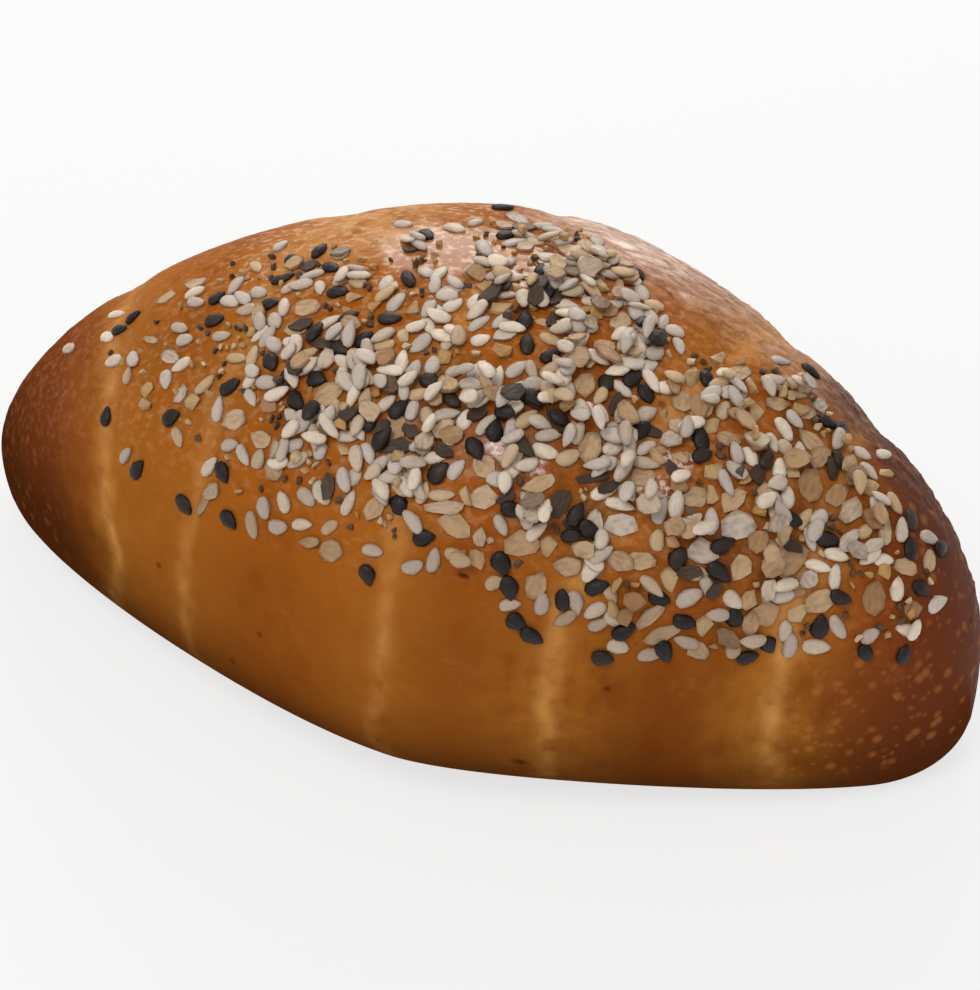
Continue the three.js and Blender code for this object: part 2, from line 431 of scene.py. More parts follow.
# %% Bands and relief
BAND_WIDTH = 6.5 * MM
LINE_WIDTH = 2.8 * MM
GLOW_WIDTH = 16 * MM
BAND_WANDER = 4 * MM    # how far a line strays to either side
BROAD_RELIEF = 0.35 * MM
PEBBLE_RELIEF = 0.14 * MM
CRINKLE_RELIEF = 0.34 * MM
BANDS = [
    {"at": -53.9 * MM, "slant": -0.4, "depth": 0.6 * MM, "pale": 0.9},
    {"at": -26.6 * MM, "slant": -0.01, "depth": 0.4 * MM, "pale": 0.6},
    {"at": 2.9 * MM, "slant": -0.05, "depth": 0.5 * MM, "pale": 0.7},
    {"at": 34.7 * MM, "slant": 0.22, "depth": 0.6 * MM, "pale": 1.0},
    {"at": 53.7 * MM, "slant": 0.01, "depth": 0.7 * MM, "pale": 1.15},
]


def bell(away, width):
    """1 in the middle of a strip of this width, falling softly to nearly 0 outside it."""
    share = away / (width / 2)
    return (share * share * -1.0).math("EXPONENT")


def stretch_bands(tree, place, at):
    """At a place: how deep the bands are, how strong their pale lines, and how strong their glow."""
    wander = noise(tree, place, 19 * MM, seed=19, detail=2.5) * BAND_WANDER
    above_foot = at["down"].rise(CROWN_SHARE + 0.3 * SIDE_SHARE, CROWN_SHARE - 0.05)
    depth = 0.0
    line = 0.0
    glow = 0.0
    for band in BANDS:
        away = at["x"] - at["y"] * band["slant"] - band["at"]
        depth = depth + bell(away, BAND_WIDTH) * band["depth"]
        line = line + bell(away + wander, LINE_WIDTH) * band["pale"]
        glow = glow + bell(away + wander * 0.6, GLOW_WIDTH) * band["pale"]
    return depth * above_foot, line, glow


def shoulder_crinkles(tree, place, at):
    """Where the far shoulder is crinkled, and its crinkles: 1 on top of one and 0 in a crease."""
    there = zone(at, y=(-4, 8), down=(0.56, 0.32), x=(-14, 8))
    ridges = noise(tree, stretched(tree, place, (0.35, 1.0, 1.0)), 2.2 * MM, seed=9, detail=4.0)
    return there, (ridges.math("ABSOLUTE") * 3.4).clamp()


def skin_relief(tree, place, at):
    """The fine relief of the baked skin, in metres outwards."""
    broad = noise(tree, place, 22 * MM, seed=3) * BROAD_RELIEF
    pebbles = noise(tree, place, 2.2 * MM, seed=5, detail=3.0) * PEBBLE_RELIEF
    blisters = specks(tree, place, 3.2 * MM, 0.5, seed=7) * PEBBLE_RELIEF
    there, ridges = shoulder_crinkles(tree, place, at)
    fine = pebbles * (0.2 + zone(at, down=(0.62, 0.4))) + blisters * zone(at, out=(46, 62))
    return (broad + fine) * zone(at, down=(0.9, 0.7)) + ridges * there * CRINKLE_RELIEF


print(len(BANDS), "bands,", BAND_WIDTH / MM, "mm wide")

# %% [markdown]
# ## From grid to crust
#
# The bent grid is merged where its edges meet, so the skin closes. The bending turns its faces inwards, and
# they are flipped before the relief is added: the relief moves points along their normals, and with inward
# normals the bands would stand out as ridges.

# %% Growing the crust
GRID_ALONG = 328
GRID_AROUND = 300
SEAM_GAP = 0.01 * MM   # points of the grid's edges that are nearer than this become one


def plant_crust_tree(values):
    tree = new_tree("baked_crust", values)
    source = tree.nodes.new("NodeGroupInput")
    given = {label: Field(tree, source.outputs[label]) for label in LOAF}
    grid = add_node(tree, "GeometryNodeMeshGrid", {
        "Size X": 2.0,
        "Size Y": 2.0,
        "Vertices X": source.outputs["Points along"],
        "Vertices Y": source.outputs["Points around"],
    })
    flat = add_node(tree, "GeometryNodeInputPosition").outputs[0]
    bent, down = bend_grid(tree, given, flat)
    depth, line, glow = stretch_bands(tree, bent, loaf_fields(tree, bent, down))
    geometry = grid.outputs["Mesh"]
    for name, value in {"down": down, "dip": depth, "line": line, "glow": glow}.items():
        inputs = {"Geometry": geometry, "Name": name, "Value": value}
        geometry = add_node(tree, "GeometryNodeStoreNamedAttribute", inputs).outputs[0]
    skin = add_node(tree, "GeometryNodeSetPosition", {"Geometry": geometry, "Position": bent})
    seam = {"Geometry": skin.outputs[0], "Distance": SEAM_GAP}
    whole = add_node(tree, "GeometryNodeMergeByDistance", seam)
    outward = add_node(tree, "GeometryNodeFlipFaces", {"Mesh": whole.outputs[0]})
    return tree, source, outward.outputs[0]


def named_field(tree, name, kind="FLOAT"):
    """An attribute that was stored on the mesh, read back as a field or a socket."""
    node = add_node(tree, "GeometryNodeInputNamedAttribute", {"Name": name}, data_type=kind)
    return Field(tree, node.outputs[0]) if kind == "FLOAT" else node.outputs[0]


def grow_crust(material):
    values = dict(LOAF)
    values["Points along"] = GRID_ALONG + 1
    values["Points around"] = GRID_AROUND + 1
    values["Relief"] = 1.0
    values["Finish"] = material
    tree, source, whole = plant_crust_tree(values)
    place = add_node(tree, "GeometryNodeInputPosition").outputs[0]
    at = loaf_fields(tree, place, named_field(tree, "down"))
    relief = skin_relief(tree, place, at) * Field(tree, source.outputs["Relief"])
    pushed = push_out(tree, whole, relief - named_field(tree, "dip"))
    smooth = add_node(tree, "GeometryNodeSetShadeSmooth", {"Geometry": pushed})
    close_tree(tree, smooth.outputs[0], source.outputs["Finish"])
    return grow(tree, bpy.data.meshes.new("crust_start"), "crust", values)


crust_finish = bpy.data.materials.new("glazed_crust")
crust = grow_crust(crust_finish)
print("the crust has", len(crust.data.polygons), "faces")

# %% Closed, and facing outwards
def check_closed(piece):
    """Counts the open edges, and measures the volume, which is negative if the faces point inwards."""
    work = bmesh.new()
    work.from_mesh(piece.data)
    open_edges = sum(not edge.is_manifold for edge in work.edges)
    volume = work.calc_volume(signed=True)
    work.free()
    return open_edges, volume


open_edges, crust_volume = check_closed(crust)
print(open_edges, "open edges; the loaf holds", round(crust_volume * 1000, 3), "litres")

# %% [markdown]
# ## Reading places from the photograph
#
# Some things are put where the photograph shows them, such as the spots where the glaze sparkles and the
# seeds that catch the eye. A ray from the camera through a pixel meets the crust at the thing's place. From
# there on it belongs to the crust, and sits right from whatever side it is seen.

# %% From a pixel to the crust, and back
def skin_of(piece):
    """The piece's faces, in a form that rays can be tested against quickly."""
    points = [vertex.co for vertex in piece.data.vertices]
    return BVHTree.FromPolygons(points, [tuple(face.vertices) for face in piece.data.polygons])


skin = skin_of(crust)


def ray_through(px, py):
    sideways = right * ((px - TARGET_PIXEL[0]) / focal_pixels)
    upwards = up * ((TARGET_PIXEL[1] - py) / focal_pixels)
    return (sideways + upwards - back).normalized()


def crust_at(px, py):
    """The point of the crust that a pixel of the photograph shows, or None past its edge."""
    return skin.ray_cast(eye, ray_through(px, py))[0]


def pixel_of(point):
    """The pixel of the photograph where a point is seen."""
    away = Vector(point) - eye
    depth = -away.dot(back)
    return (TARGET_PIXEL[0] + focal_pixels * away.dot(right) / depth,
            TARGET_PIXEL[1] - focal_pixels * away.dot(up) / depth)


middle_place = crust_at(PHOTO_WIDTH / 2, PHOTO_HEIGHT / 2)
print("the middle of the photograph shows the crust at", tuple(round(v / MM) for v in middle_place), "mm")

# %% [markdown]
# ## The glazed crust
#
# An egg-washed crust is golden on its flanks, more orange where the glaze lay thick on top, and dark brown
# at both ends and round the foot, where it baked hardest. Round the foot, on the far side of the right end
# and under the belt of toppings it is darker still, and there the darkening is painted shade. The far
# shoulder's crinkles are painted paler on their ridges and darker in their creases. Along the far shoulder's
# edge, on the crest and in the sparkling spots, painted highlights help the glaze's shine. The stretch bands
# stayed pale. A photograph's colours already hold some shine, so the base colours here are a little deeper
# than what the eye reads. The colours are laid over each other from the widest change to the finest speck,
# all in the loaf's own coordinates, so the pattern belongs to the loaf and not to the view.

# %% Colours and finishes
def srgb(red, green, blue):
    """A colour as read from a screen, 0 to 255, in the linear numbers that shaders use."""
    def linear(channel):
        share = channel / 255
        return share / 12.92 if share <= 0.04045 else ((share + 0.055) / 1.055) ** 2.4
    return (linear(red), linear(green), linear(blue), 1.0)


def mix_colour(tree, share, first, second):
    """The first colour where share is 0, the second where it is 1."""
    inputs = {0: share, 6: first, 7: second}
    return add_node(tree, "ShaderNodeMix", inputs, data_type="RGBA", clamp_factor=True).outputs[2]


def start_finish(material, **shine):
    """Empties a material, gives it one shader, and returns the tree, the shader and the coordinates."""
    material.use_nodes = True
    tree = material.node_tree
    tree.nodes.clear()
    constants = {name.replace("_", " "): value for name, value in shine.items()}
    shader = add_node(tree, "ShaderNodeBsdfPrincipled", constants)
    add_node(tree, "ShaderNodeOutputMaterial", {"Surface": shader.outputs[0]})
    place = tree.nodes.new("ShaderNodeTexCoord").outputs["Object"]
    return tree, shader, place


def read_attribute(tree, name):
    """A number stored on the mesh, as a field in a shader."""
    return Field(tree, add_node(tree, "ShaderNodeAttribute", attribute_name=name).outputs["Fac"])


def bump(tree, shader, height, depth):
    """Makes the surface look raised where height is high; depth is the real height in metres."""
    node = add_node(tree, "ShaderNodeBump", {"Strength": 1.0, "Distance": depth, "Height": height})
    feed(tree, shader.inputs["Normal"], node.outputs[0])


print("finishes are mixed from colours read as 0 to 255")

# %% Painting the crust
CRUST_COLOURS = {
    "flank": srgb(150, 82, 26),
    "glaze": srgb(170, 94, 26),
    "patch": srgb(126, 64, 16),
    "toasted": srgb(116, 54, 18),
    # darker round the foot: a browner baked base, deepened by painted shade
    "foot": srgb(62, 31, 11),
    "left end": srgb(122, 57, 26),
    "right end": srgb(112, 56, 32),
    # painted shade on the far side of the right end
    "shaded_end": srgb(90, 55, 46),
    # painted shade between the toppings of the belt, with the darkening of crumbs
    "belt": srgb(84, 44, 18),
    # the far shoulder's crinkles: painted highlight on the ridges, painted shade in the creases
    "crinkle": srgb(186, 126, 80),
    "shaded crease": srgb(130, 72, 36),
    # painted highlight: the pale band along the far shoulder's edge stands in for its sheen
    "rim sheen": srgb(244, 210, 186),
    "ember": srgb(172, 80, 24),
    "glow": srgb(180, 114, 42),
    "line": srgb(210, 148, 80),
    "gold": srgb(216, 156, 98),
    "fleck": srgb(200, 134, 84),
    "blister": srgb(188, 116, 64),
    # painted glints on the crackled glaze of the crest
    "crest glint": srgb(226, 172, 122),
    # painted glints: near-white flecks in the sparkling spots
    "crackle_glint": srgb(244, 218, 200),
    "pit": srgb(56, 26, 10),
}


def lay_over(tree, colour, layers):
    """Lays colours over each other, each with the share that it covers."""
    for share, tone in layers:
        tone = CRUST_COLOURS[tone] if isinstance(tone, str) else tone
        colour = mix_colour(tree, share, colour, tone)
    return colour


def paint_crust(tree, place, at):
    """The crust's colour but for its flecks, the mottle that it shares, and the shoulder's crinkles."""
    x = at["x"]
    y = at["y"]
    cloud = noise(tree, place, 16 * MM, seed=1)
    mottle = noise(tree, place, 3.5 * MM, seed=2, detail=3.0)
    streaks = noise(tree, stretched(tree, place, (1.0, 0.18, 0.18)), 3.0 * MM, seed=4, detail=3.0)
    crown = (at["down"] + cloud * 0.12).rise(0.66, 0.42)
    top = (at["down"] + mottle * 0.15).rise(0.52, 0.26)
    patches = (cloud * 0.8 + streaks * 0.9 + mottle * 0.9).rise(-0.3, 0.9)
    toasted = (x + cloud * (10 * MM)).rise(0 * MM, 42 * MM)
    ember = (x + cloud * (12 * MM)).rise(-6 * MM, 30 * MM) * crown * (0.6 + mottle)
    there, ridges = shoulder_crinkles(tree, place, at)
    # The far shoulder's skin is painted paler on its crinkles' ridges and darker in their creases: painted
    # light and shade that follow the crinkles.
    skin_tone = mix_colour(
        tree, ridges + mottle * 0.8, CRUST_COLOURS["shaded crease"], CRUST_COLOURS["crinkle"])
    bare = (y + cloud * (5 * MM)).rise(-1 * MM, 13 * MM) * top
    # Painted highlight: a pale pink-white band along the far shoulder's edge, where the glaze shines.
    rim = (y + x * 0.35 + cloud * (2 * MM)).rise(17.5 * MM, 24 * MM) * zone(at, x=(-4, 8, 44, 56))
    rim = rim * (0.45 + zone(at, x=(28, 16)) * 0.55) * top * (0.3 + ridges * 0.75)
    # Painted shade: the far side of the right end is painted a darker purple-brown, and the band lines and
    # glow fade there.
    shaded_end = (y + x * 0.55).rise(29 * MM, 38 * MM) * zone(at, x=(42, 50, 60, 84), down=(0.75, 0.5))
    not_shaded_end = 1.0 - shaded_end * 0.85
    glow = read_attribute(tree, "glow") * (0.58 + mottle * 0.8 + streaks * 0.6) * not_shaded_end
    golden = zone(at, y=(-9, 5), x=(-38, -26, -18, 0)) * top
    left = (x + y * 0.4 + cloud * (5 * MM) + mottle * (3 * MM)).rise(-51 * MM, -66 * MM)
    right = (x + y * 0.35 + cloud * (6 * MM)).rise(46 * MM, 68 * MM)
    # Darker towards the foot: the base baked browner, and painted shade where the flank turns under.
    foot = (at["z"] + x * 0.06 - left * (5 * MM) + cloud * (4 * MM)).rise(25 * MM, 2 * MM)
    line = read_attribute(tree, "line") * zone(at, z=(0, 27)) * not_shaded_end
    colour = lay_over(tree, CRUST_COLOURS["flank"], [
        (crown, "glaze"),
        (patches * 0.7, "patch"),
        (toasted * (0.7 - crown * 0.4), "toasted"),
        (ember.clamp() * 0.7, "ember"),
        ((bare * (0.3 + there * 0.7) + there * 0.2).clamp() * 0.85, skin_tone),
        # painted highlight along the far shoulder's edge
        (rim.clamp(), "rim sheen"),
        (glow.clamp() * 0.9, "glow"),
        (golden * (0.6 + mottle * 1.2).clamp(), "gold"),
        (left * 0.9, "left end"),
        (right * 0.95, "right end"),
        (shaded_end * (0.8 + mottle * 0.6), "shaded_end"),
        (foot * 0.88, "foot"),
        ((line * (0.55 + mottle * 0.9 + streaks * 0.5)).clamp(), "line"),
    ])
    return colour, mottle, there * ridges


def fleck_crust(tree, place, colour, at):
    """Pale crinkled flecks; finer pale ones, thickest on the crest, which are painted glints on the crackled
    glaze; round blisters at both ends; and a few dark pits.
    """
    bend = noise_vector(tree, place, 2.2 * MM, seed=23)
    wobbly = vector_math(tree, "ADD", place, stretched(tree, bend, (0.7 * MM,) * 3))
    dots = specks(tree, wobbly, 2.3 * MM, 0.65, seed=24, reach=0.46)
    dots = dots.math("MAXIMUM", specks(tree, wobbly, 1.3 * MM, 0.5, seed=25) * 0.6)
    dots = dots * zone(at, out=(47, 58), z=(4, 10)) * zone(at, x=(-50, -20)).math("MAXIMUM", 0.4)
    crest = zone(at, y=(-12, 0), x=(-40, -26, 6, 22), down=(0.5, 0.26))
    crown = zone(at, down=(0.62, 0.35), x=(60, 44)) * (0.5 + zone(at, x=(-48, -34)) * 0.5)
    clumps = noise(tree, place, 7 * MM, seed=8) * zone(at, z=(10, 26))
    broad = noise(tree, place, 1.7 * MM, seed=6).rise(0.04, 0.5) * (crown * 0.4 + clumps * 0.25).clamp()
    # Fine pale flecks, thickest on the crest: painted glints on the crackled glaze.
    fine = noise(tree, stretched(tree, place, (0.7, 1.0, 1.0)), 1.0 * MM, seed=10).rise(-0.05, 0.3)
    fine = fine * (crest * 1.2 + crown * 0.35 + clumps * 0.15).clamp()
    pits = specks(tree, place, 2.6 * MM, 0.012, seed=13, reach=0.3) * 0.5
    colour = lay_over(tree, colour, [
        (broad * 0.5, "fleck"),
        (dots * 0.42, "blister"),
        (fine * 0.62, "crest glint"),
        (pits.math("MAXIMUM", read_attribute(tree, "scorch")), "pit"),
    ])
    return colour, broad.math("MAXIMUM", fine)


print(len(CRUST_COLOURS), "colours for the crust")

# %% [markdown]
# ## Where the glaze shines
#
# The flanks look matt, but the glaze shines in three places: along the far edge of the shoulder, in a soft
# sheen over the crest, and in small sparkling spots where it crackled. A clear coat gives that shine. Its
# weight is painted in those places alone, because a coat all over would lay a grey veil on the dark ends. The
# colour helps it with painted highlights: a pale band along the shoulder's edge, and near-white glints in the
# sparkling spots and on the crest.
#
# The spots are given by pixel, with a radius in millimetres. Every point of the crust keeps a number that
# tells how near it is to one. The same is done for the belt, where the glaze under the toppings is painted
# darker, as painted shade between the pieces together with the crumbs' darkening, and for two scorched
# spots on the near flank. Such numbers cost a render nothing, where measuring the distance to every spot in
# the finish would make it slow.

# %% Spots that are marked on the crust
# Pixel, and radius in millimetres.
# The sparkling spots get a stronger coat, and painted glints in their colour.
SPARKLES = [
    (497, 445, 2.0), (508, 452, 2.0), (520, 460, 2.0), (536, 466, 1.8), (664, 456, 1.8), (680, 470, 1.8),
    (660, 488, 2.2), (640, 484, 1.6), (500, 272, 3.0), (524, 280, 2.0), (545, 268, 2.4), (560, 282, 1.8),
    (604, 532, 1.2), (688, 460, 1.4), (806, 580, 1.4), (630, 330, 1.4), (596, 548, 1.0),
]
CREST_SHEEN = [(420, 245, 9.0), (480, 255, 10.0), (545, 262, 10.0)]
# Where the glaze under the belt is painted darker: painted shade between the toppings, and crumbs.
BELT_SHADE_SPOTS = [
    (450, 400, 11), (520, 425, 11), (590, 430, 12), (575, 505, 9), (392, 436, 7), (700, 562, 8),
    (745, 562, 8), (790, 500, 9), (806, 440, 7), (340, 360, 7), (560, 285, 7),
]
SCORCHES = [(519, 763, 0.8), (463, 576, 0.5)]
SOFT_SHARE = 0.7   # this share of a spot's radius is its soft edge


def mark_nearness(piece, name, spots, squeeze=1.0):
    """Keeps on the mesh how near each point is to a spot: 1 in its middle, 0 past its radius.

    A squeeze under 1 makes the spots longer along the loaf.
    """
    numbers = np.empty(len(piece.data.vertices) * 3)
    piece.data.vertices.foreach_get("co", numbers)
    points = numbers.reshape(-1, 3)
    nearness = np.zeros(len(points))
    for px, py, radius in spots:
        away = (points - np.array(crust_at(px, py))) * (squeeze, 1.0, 1.0)
        share = np.clip((1 - np.linalg.norm(away, axis=1) / (radius * MM)) / SOFT_SHARE, 0, 1)
        nearness = np.maximum(nearness, share * share * (3 - 2 * share))
    piece.data.attributes.new(name, "FLOAT", "POINT").data.foreach_set("value", nearness)


mark_nearness(crust, "sparkle", SPARKLES)
mark_nearness(crust, "sheen", CREST_SHEEN)
mark_nearness(crust, "belt", BELT_SHADE_SPOTS)
mark_nearness(crust, "scorch", SCORCHES, squeeze=0.4)
print(len(SPARKLES), "sparkling spots and", len(SCORCHES), "scorched ones")

# %% The finished crust
def finish_crust(material):
    tree, shader, place = start_finish(material, Specular_IOR_Level=0.0, Coat_Roughness=0.22, Coat_IOR=1.7)
    at = loaf_fields(tree, place, read_attribute(tree, "down"))
    colour, mottle, crinkles = paint_crust(tree, place, at)
    colour, flecks = fleck_crust(tree, place, colour, at)
    sparkle = read_attribute(tree, "sparkle")
    crackle_glint = noise(tree, place, 1.3 * MM, seed=17, detail=3.0).math("ABSOLUTE")
    # Painted shade under the belt of toppings, broken up by noise, with the darkening of crumbs.
    belt = read_attribute(tree, "belt") * (0.5 + noise(tree, place, 3.2 * MM, seed=27) * 1.4)
    colour = lay_over(tree, colour, [
        (belt.clamp() * 0.8, "belt"),
        (sparkle * 0.8, "ember"),
        # painted glints: near-white flecks on the crackle in the sparkling spots
        (sparkle * crackle_glint.rise(0.17, 0.04), "crackle_glint"),
    ])
    feed(tree, shader.inputs["Base Color"], colour)
    feed(tree, shader.inputs["Roughness"], (0.45 + mottle * 0.1).clamp())
    edge = (at["y"] + at["x"] * 0.35).rise(14 * MM, 24 * MM) * zone(at, x=(-6, 4), down=(0.6, 0.36))
    edge = edge * (0.3 + zone(at, x=(42, 20)) * 0.7)
    sheen = read_attribute(tree, "sheen") * 0.46
    crown = zone(at, down=(0.6, 0.35), x=(-66, -50, 50, 66))
    shine = edge * (0.4 + crinkles * 0.5) * 0.85 + sheen + sparkle * 0.9 + crown * (0.06 + flecks * 0.25)
    feed(tree, shader.inputs["Coat Weight"], shine.clamp())
    grain = noise(tree, place, 0.9 * MM, seed=15)
    crackled = crackle_glint * (0.4 + crown + sheen * 3.0 + sparkle * 4.0)
    bump(tree, shader, grain * 0.3 + flecks * 0.8 + crackled + crinkles, 0.2 * MM)


finish_crust(crust_finish)
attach(crust, "root")
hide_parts("loaf")
print("the crust's finish has", len(crust_finish.node_tree.nodes), "nodes")

# %% [markdown]
# ## Where toppings can lie
#
# A topping rests on what is under it: bare crust, or toppings that fell before. To know how high that is,
# the loaf is read once as a table, like a map of heights: for each place along the loaf and each angle
# round it, how far the crust is from a line through the middle of the loaf. Each topping that comes to rest
# raises the map under it, and the next one lies on the new heights.

# %% A map of heights round the loaf
AXIS_HEIGHT = 16 * MM
MAP_STEP = 0.3 * MM
MAP_TURN = math.radians(0.4)
MAP_ENDS = (-73 * MM, 73 * MM)
MAP_SIDES = (math.radians(38), math.radians(188))
USUAL_RADIUS = 40 * MM   # from the inner line to the crust
LEAST_RADIUS = 34 * MM
PROBE = 1.3 * MM         # how far apart the points are that tell the slope of the crust


class HeightMap:
    """How far the top of what lies there is from the loaf's inner line, along it and round it."""

    def __init__(self, skin):
        self.along = np.arange(*MAP_ENDS, MAP_STEP)
        self.round = np.arange(*MAP_SIDES, MAP_TURN)
        self.bare = np.array([[self.skin_distance(skin, x, turn) for turn in self.round] for x in self.along])
        self.top = self.bare.copy()
        self.kept = np.zeros(self.bare.shape)

    @staticmethod
    def skin_distance(skin, x, turn):
        start = Vector((x, 0, AXIS_HEIGHT))
        hit = skin.ray_cast(start, Vector((0, math.cos(turn), math.sin(turn))))
        return hit[3] if hit[0] else 0.0

    def read(self, table, x, turn):
        """The value of a table at any places, between its grid points."""
        i = np.clip((x - self.along[0]) / MAP_STEP, 0, len(self.along) - 1.001)
        j = np.clip((turn - self.round[0]) / MAP_TURN, 0, len(self.round) - 1.001)
        i0 = i.astype(int)
        j0 = j.astype(int)
        di = i - i0
        dj = j - j0
        near = table[i0, j0] * (1 - dj) + table[i0, j0 + 1] * dj
        far = table[i0 + 1, j0] * (1 - dj) + table[i0 + 1, j0 + 1] * dj
        return near * (1 - di) + far * di

    def point(self, x, turn, distance):
        return np.array((x, distance * math.cos(turn), AXIS_HEIGHT + distance * math.sin(turn)))

    def bare_point(self, x, turn):
        return self.point(x, turn, float(self.read(self.bare, np.float64(x), np.float64(turn))))

    def directions(self, x, turn):
        """The directions along, across and out of the bare crust."""
        swing = PROBE / USUAL_RADIUS
        along = self.bare_point(x + PROBE, turn) - self.bare_point(x - PROBE, turn)
        over = self.bare_point(x, turn + swing) - self.bare_point(x, turn - swing)
        out = np.cross(over, along)
        out /= np.linalg.norm(out)
        along /= np.linalg.norm(along)
        return along, np.cross(out, along), out


heights = HeightMap(skin)
print("the map has", heights.bare.size, "heights, up to", round(heights.bare.max() / MM, 1), "mm")

# %% [markdown]
# ## Letting one piece come to rest
#
# A falling flake tips until it touches what lies under it in three places. Simulating that for hundreds of
# pieces is slow and never the same twice. Instead, a plane is fitted to the heights under the piece's
# outline, the piece is laid on it, and it is lifted until no height pokes through it by more than it was
# baked in. Then the map of heights is raised by the piece's own domed or flat top.

# %% Laying a piece on the heights
STEEPEST = 0.55      # how far a piece may tip, as a slope
WINDOW_SHARE = 0.75  # the part of the map that a piece can raise, as a share of its length
KEPT_REACH = 1.15    # how far a marked piece keeps its surroundings free, as a share of its size
FLATTEST_RAY = 0.4   # keeps a height from growing without end where a ray grazes a piece
OUTLINE = np.array([(0, 0)] + [
    (ring * math.cos(turn), ring * math.sin(turn))
    for ring, count in ((0.5, 8), (0.92, 12))
    for turn in np.arange(count) * 2 * math.pi / count
])


def under_piece(x, turn, spin, size):
    """The points under a piece's outline, on the plane that touches the bare crust."""
    along, across, out = heights.directions(x, turn)
    ahead = along * math.cos(spin) + across * math.sin(spin)
    aside = np.cross(out, ahead)
    foot = heights.bare_point(x, turn)
    steps = OUTLINE * (size[0] / 2, size[1] / 2)
    spots = foot + steps[:, :1] * ahead + steps[:, 1:] * aside
    return foot, ahead, aside, out, steps, spots


def around_axis(spots):
    """How far round the inner line each point lies, and how far from it."""
    over = spots[..., 2] - AXIS_HEIGHT
    return np.arctan2(over, spots[..., 1]), np.hypot(over, spots[..., 1])


def crowding(x, turn, spin, size):
    """How much of the place is taken already, and how much of it by pieces that must stay in view."""
    spots = under_piece(x, turn, spin, size)[5]
    turns, _ = around_axis(spots)
    raised = heights.read(heights.top, spots[:, 0], turns) - heights.read(heights.bare, spots[:, 0], turns)
    kept = heights.read(heights.kept, spots[:, 0], turns)
    return float(np.mean(raised)), float(np.mean(kept))


def lay_down(x, turn, spin, size, domed, baked_in, keep=False):
    """Lays a piece on the heights, raises them, and returns its middle and its three directions."""
    foot, ahead, aside, out, steps, spots = under_piece(x, turn, spin, size)
    turns, distances = around_axis(spots)
    radial = np.stack((np.zeros(len(turns)), np.cos(turns), np.sin(turns)), axis=1)
    gap = (heights.read(heights.top, spots[:, 0], turns) - distances) * (radial @ out)
    system = np.column_stack((np.ones(len(gap)), steps))
    level, tip, lean = np.linalg.lstsq(system, gap, rcond=None)[0]
    slope = math.hypot(tip, lean)
    if slope > STEEPEST:
        tip, lean = tip * STEEPEST / slope, lean * STEEPEST / slope
    rim = np.hypot(OUTLINE[:, 0], OUTLINE[:, 1])
    belly = size[2] / 2 * (1 - np.sqrt(1 - rim * rim)) if domed else np.zeros(len(rim))
    level = float(np.max(gap - steps @ (tip, lean) - belly)) - baked_in
    normal = out - tip * ahead - lean * aside
    normal /= np.linalg.norm(normal)
    ahead = np.cross(aside, normal)
    ahead /= np.linalg.norm(ahead)
    aside = np.cross(normal, ahead)
    middle = foot + level * out + size[2] / 2 * normal
    raise_heights(x, turn, middle, (ahead, aside, normal), size, domed, keep)
    return middle, (ahead, aside, normal)


def raise_heights(x, turn, middle, directions, size, domed, keep):
    """Raises the map of heights by one piece's top."""
    ahead, aside, normal = directions
    reach = size[0] * WINDOW_SHARE
    swing = reach / LEAST_RADIUS
    i = np.searchsorted(heights.along, (x - reach, x + reach))
    j = np.searchsorted(heights.round, (turn - swing, turn + swing))
    window = (slice(i[0], i[1]), slice(j[0], j[1]))
    xs, turns = np.meshgrid(heights.along[window[0]], heights.round[window[1]], indexing="ij")
    top = heights.top[window]
    rays = np.stack((np.zeros(xs.shape), np.cos(turns), np.sin(turns)), axis=-1)
    axis = np.stack((xs, np.zeros(xs.shape), np.full(xs.shape, AXIS_HEIGHT)), axis=-1)
    away = axis + top[..., None] * rays - middle
    rim = np.hypot(away @ ahead / (size[0] / 2), away @ aside / (size[1] / 2))
    thickness = size[2] / 2 * (np.sqrt(np.clip(1 - rim * rim, 0, 1)) if domed else 1.0)
    rise = (thickness - away @ normal) / np.maximum(rays @ normal, FLATTEST_RAY)
    covered = rim < 1
    heights.top[window] = np.where(covered & (rise > 0), top + rise, top)
    if keep:
        heights.kept[window] = np.where(rim < KEPT_REACH, 1.0, heights.kept[window])


print("a piece's outline is tested at", len(OUTLINE), "points")

# %% [markdown]
# ## The shapes of the toppings
#
# Hundreds of pieces need shapes with only a few dozen faces each. A sesame seed is a flattened drop, made
# from rings round its length. A dried onion flake is a thin uneven plate, a little curled. A grain of
# dried garlic is an irregular chip, made as the hull of a few random points. Every kind has several
# variants, so that no two neighbours look alike. Each is one unit long, wide and thick, and its size is
# given where it lies. Its own coordinates are kept on the mesh, so a finish can follow its length.

# %% Helpers for shapes
draw = np.random.default_rng(2047)


def between(least, most):
    return float(draw.uniform(least, most))


def keep_own_coordinates(mesh):
    """Stores each point's own coordinates, which stay with it when the piece is laid down."""
    own = mesh.attributes.new("own", "FLOAT_VECTOR", "POINT")
    own.data.foreach_set("vector", [number for vertex in mesh.vertices for number in vertex.co])


def shape_object(work, name, smooth):
    """Turns edited mesh data into one variant of a topping."""
    bmesh.ops.recalc_face_normals(work, faces=work.faces)
    for face in work.faces:
        face.smooth = smooth
    mesh = bpy.data.meshes.new(name)
    work.to_mesh(mesh)
    work.free()
    keep_own_coordinates(mesh)
    return bpy.data.objects.new(name, mesh)


print("shapes are drawn with a fixed seed")

# %% A sesame seed
SEED_STATIONS = [0.0, 0.07, 0.25, 0.48, 0.73, 0.92, 1.0]
SEED_WIDTHS = [0.0, 0.56, 0.91, 1.0, 0.84, 0.48, 0.0]
SEED_SIDES = 8


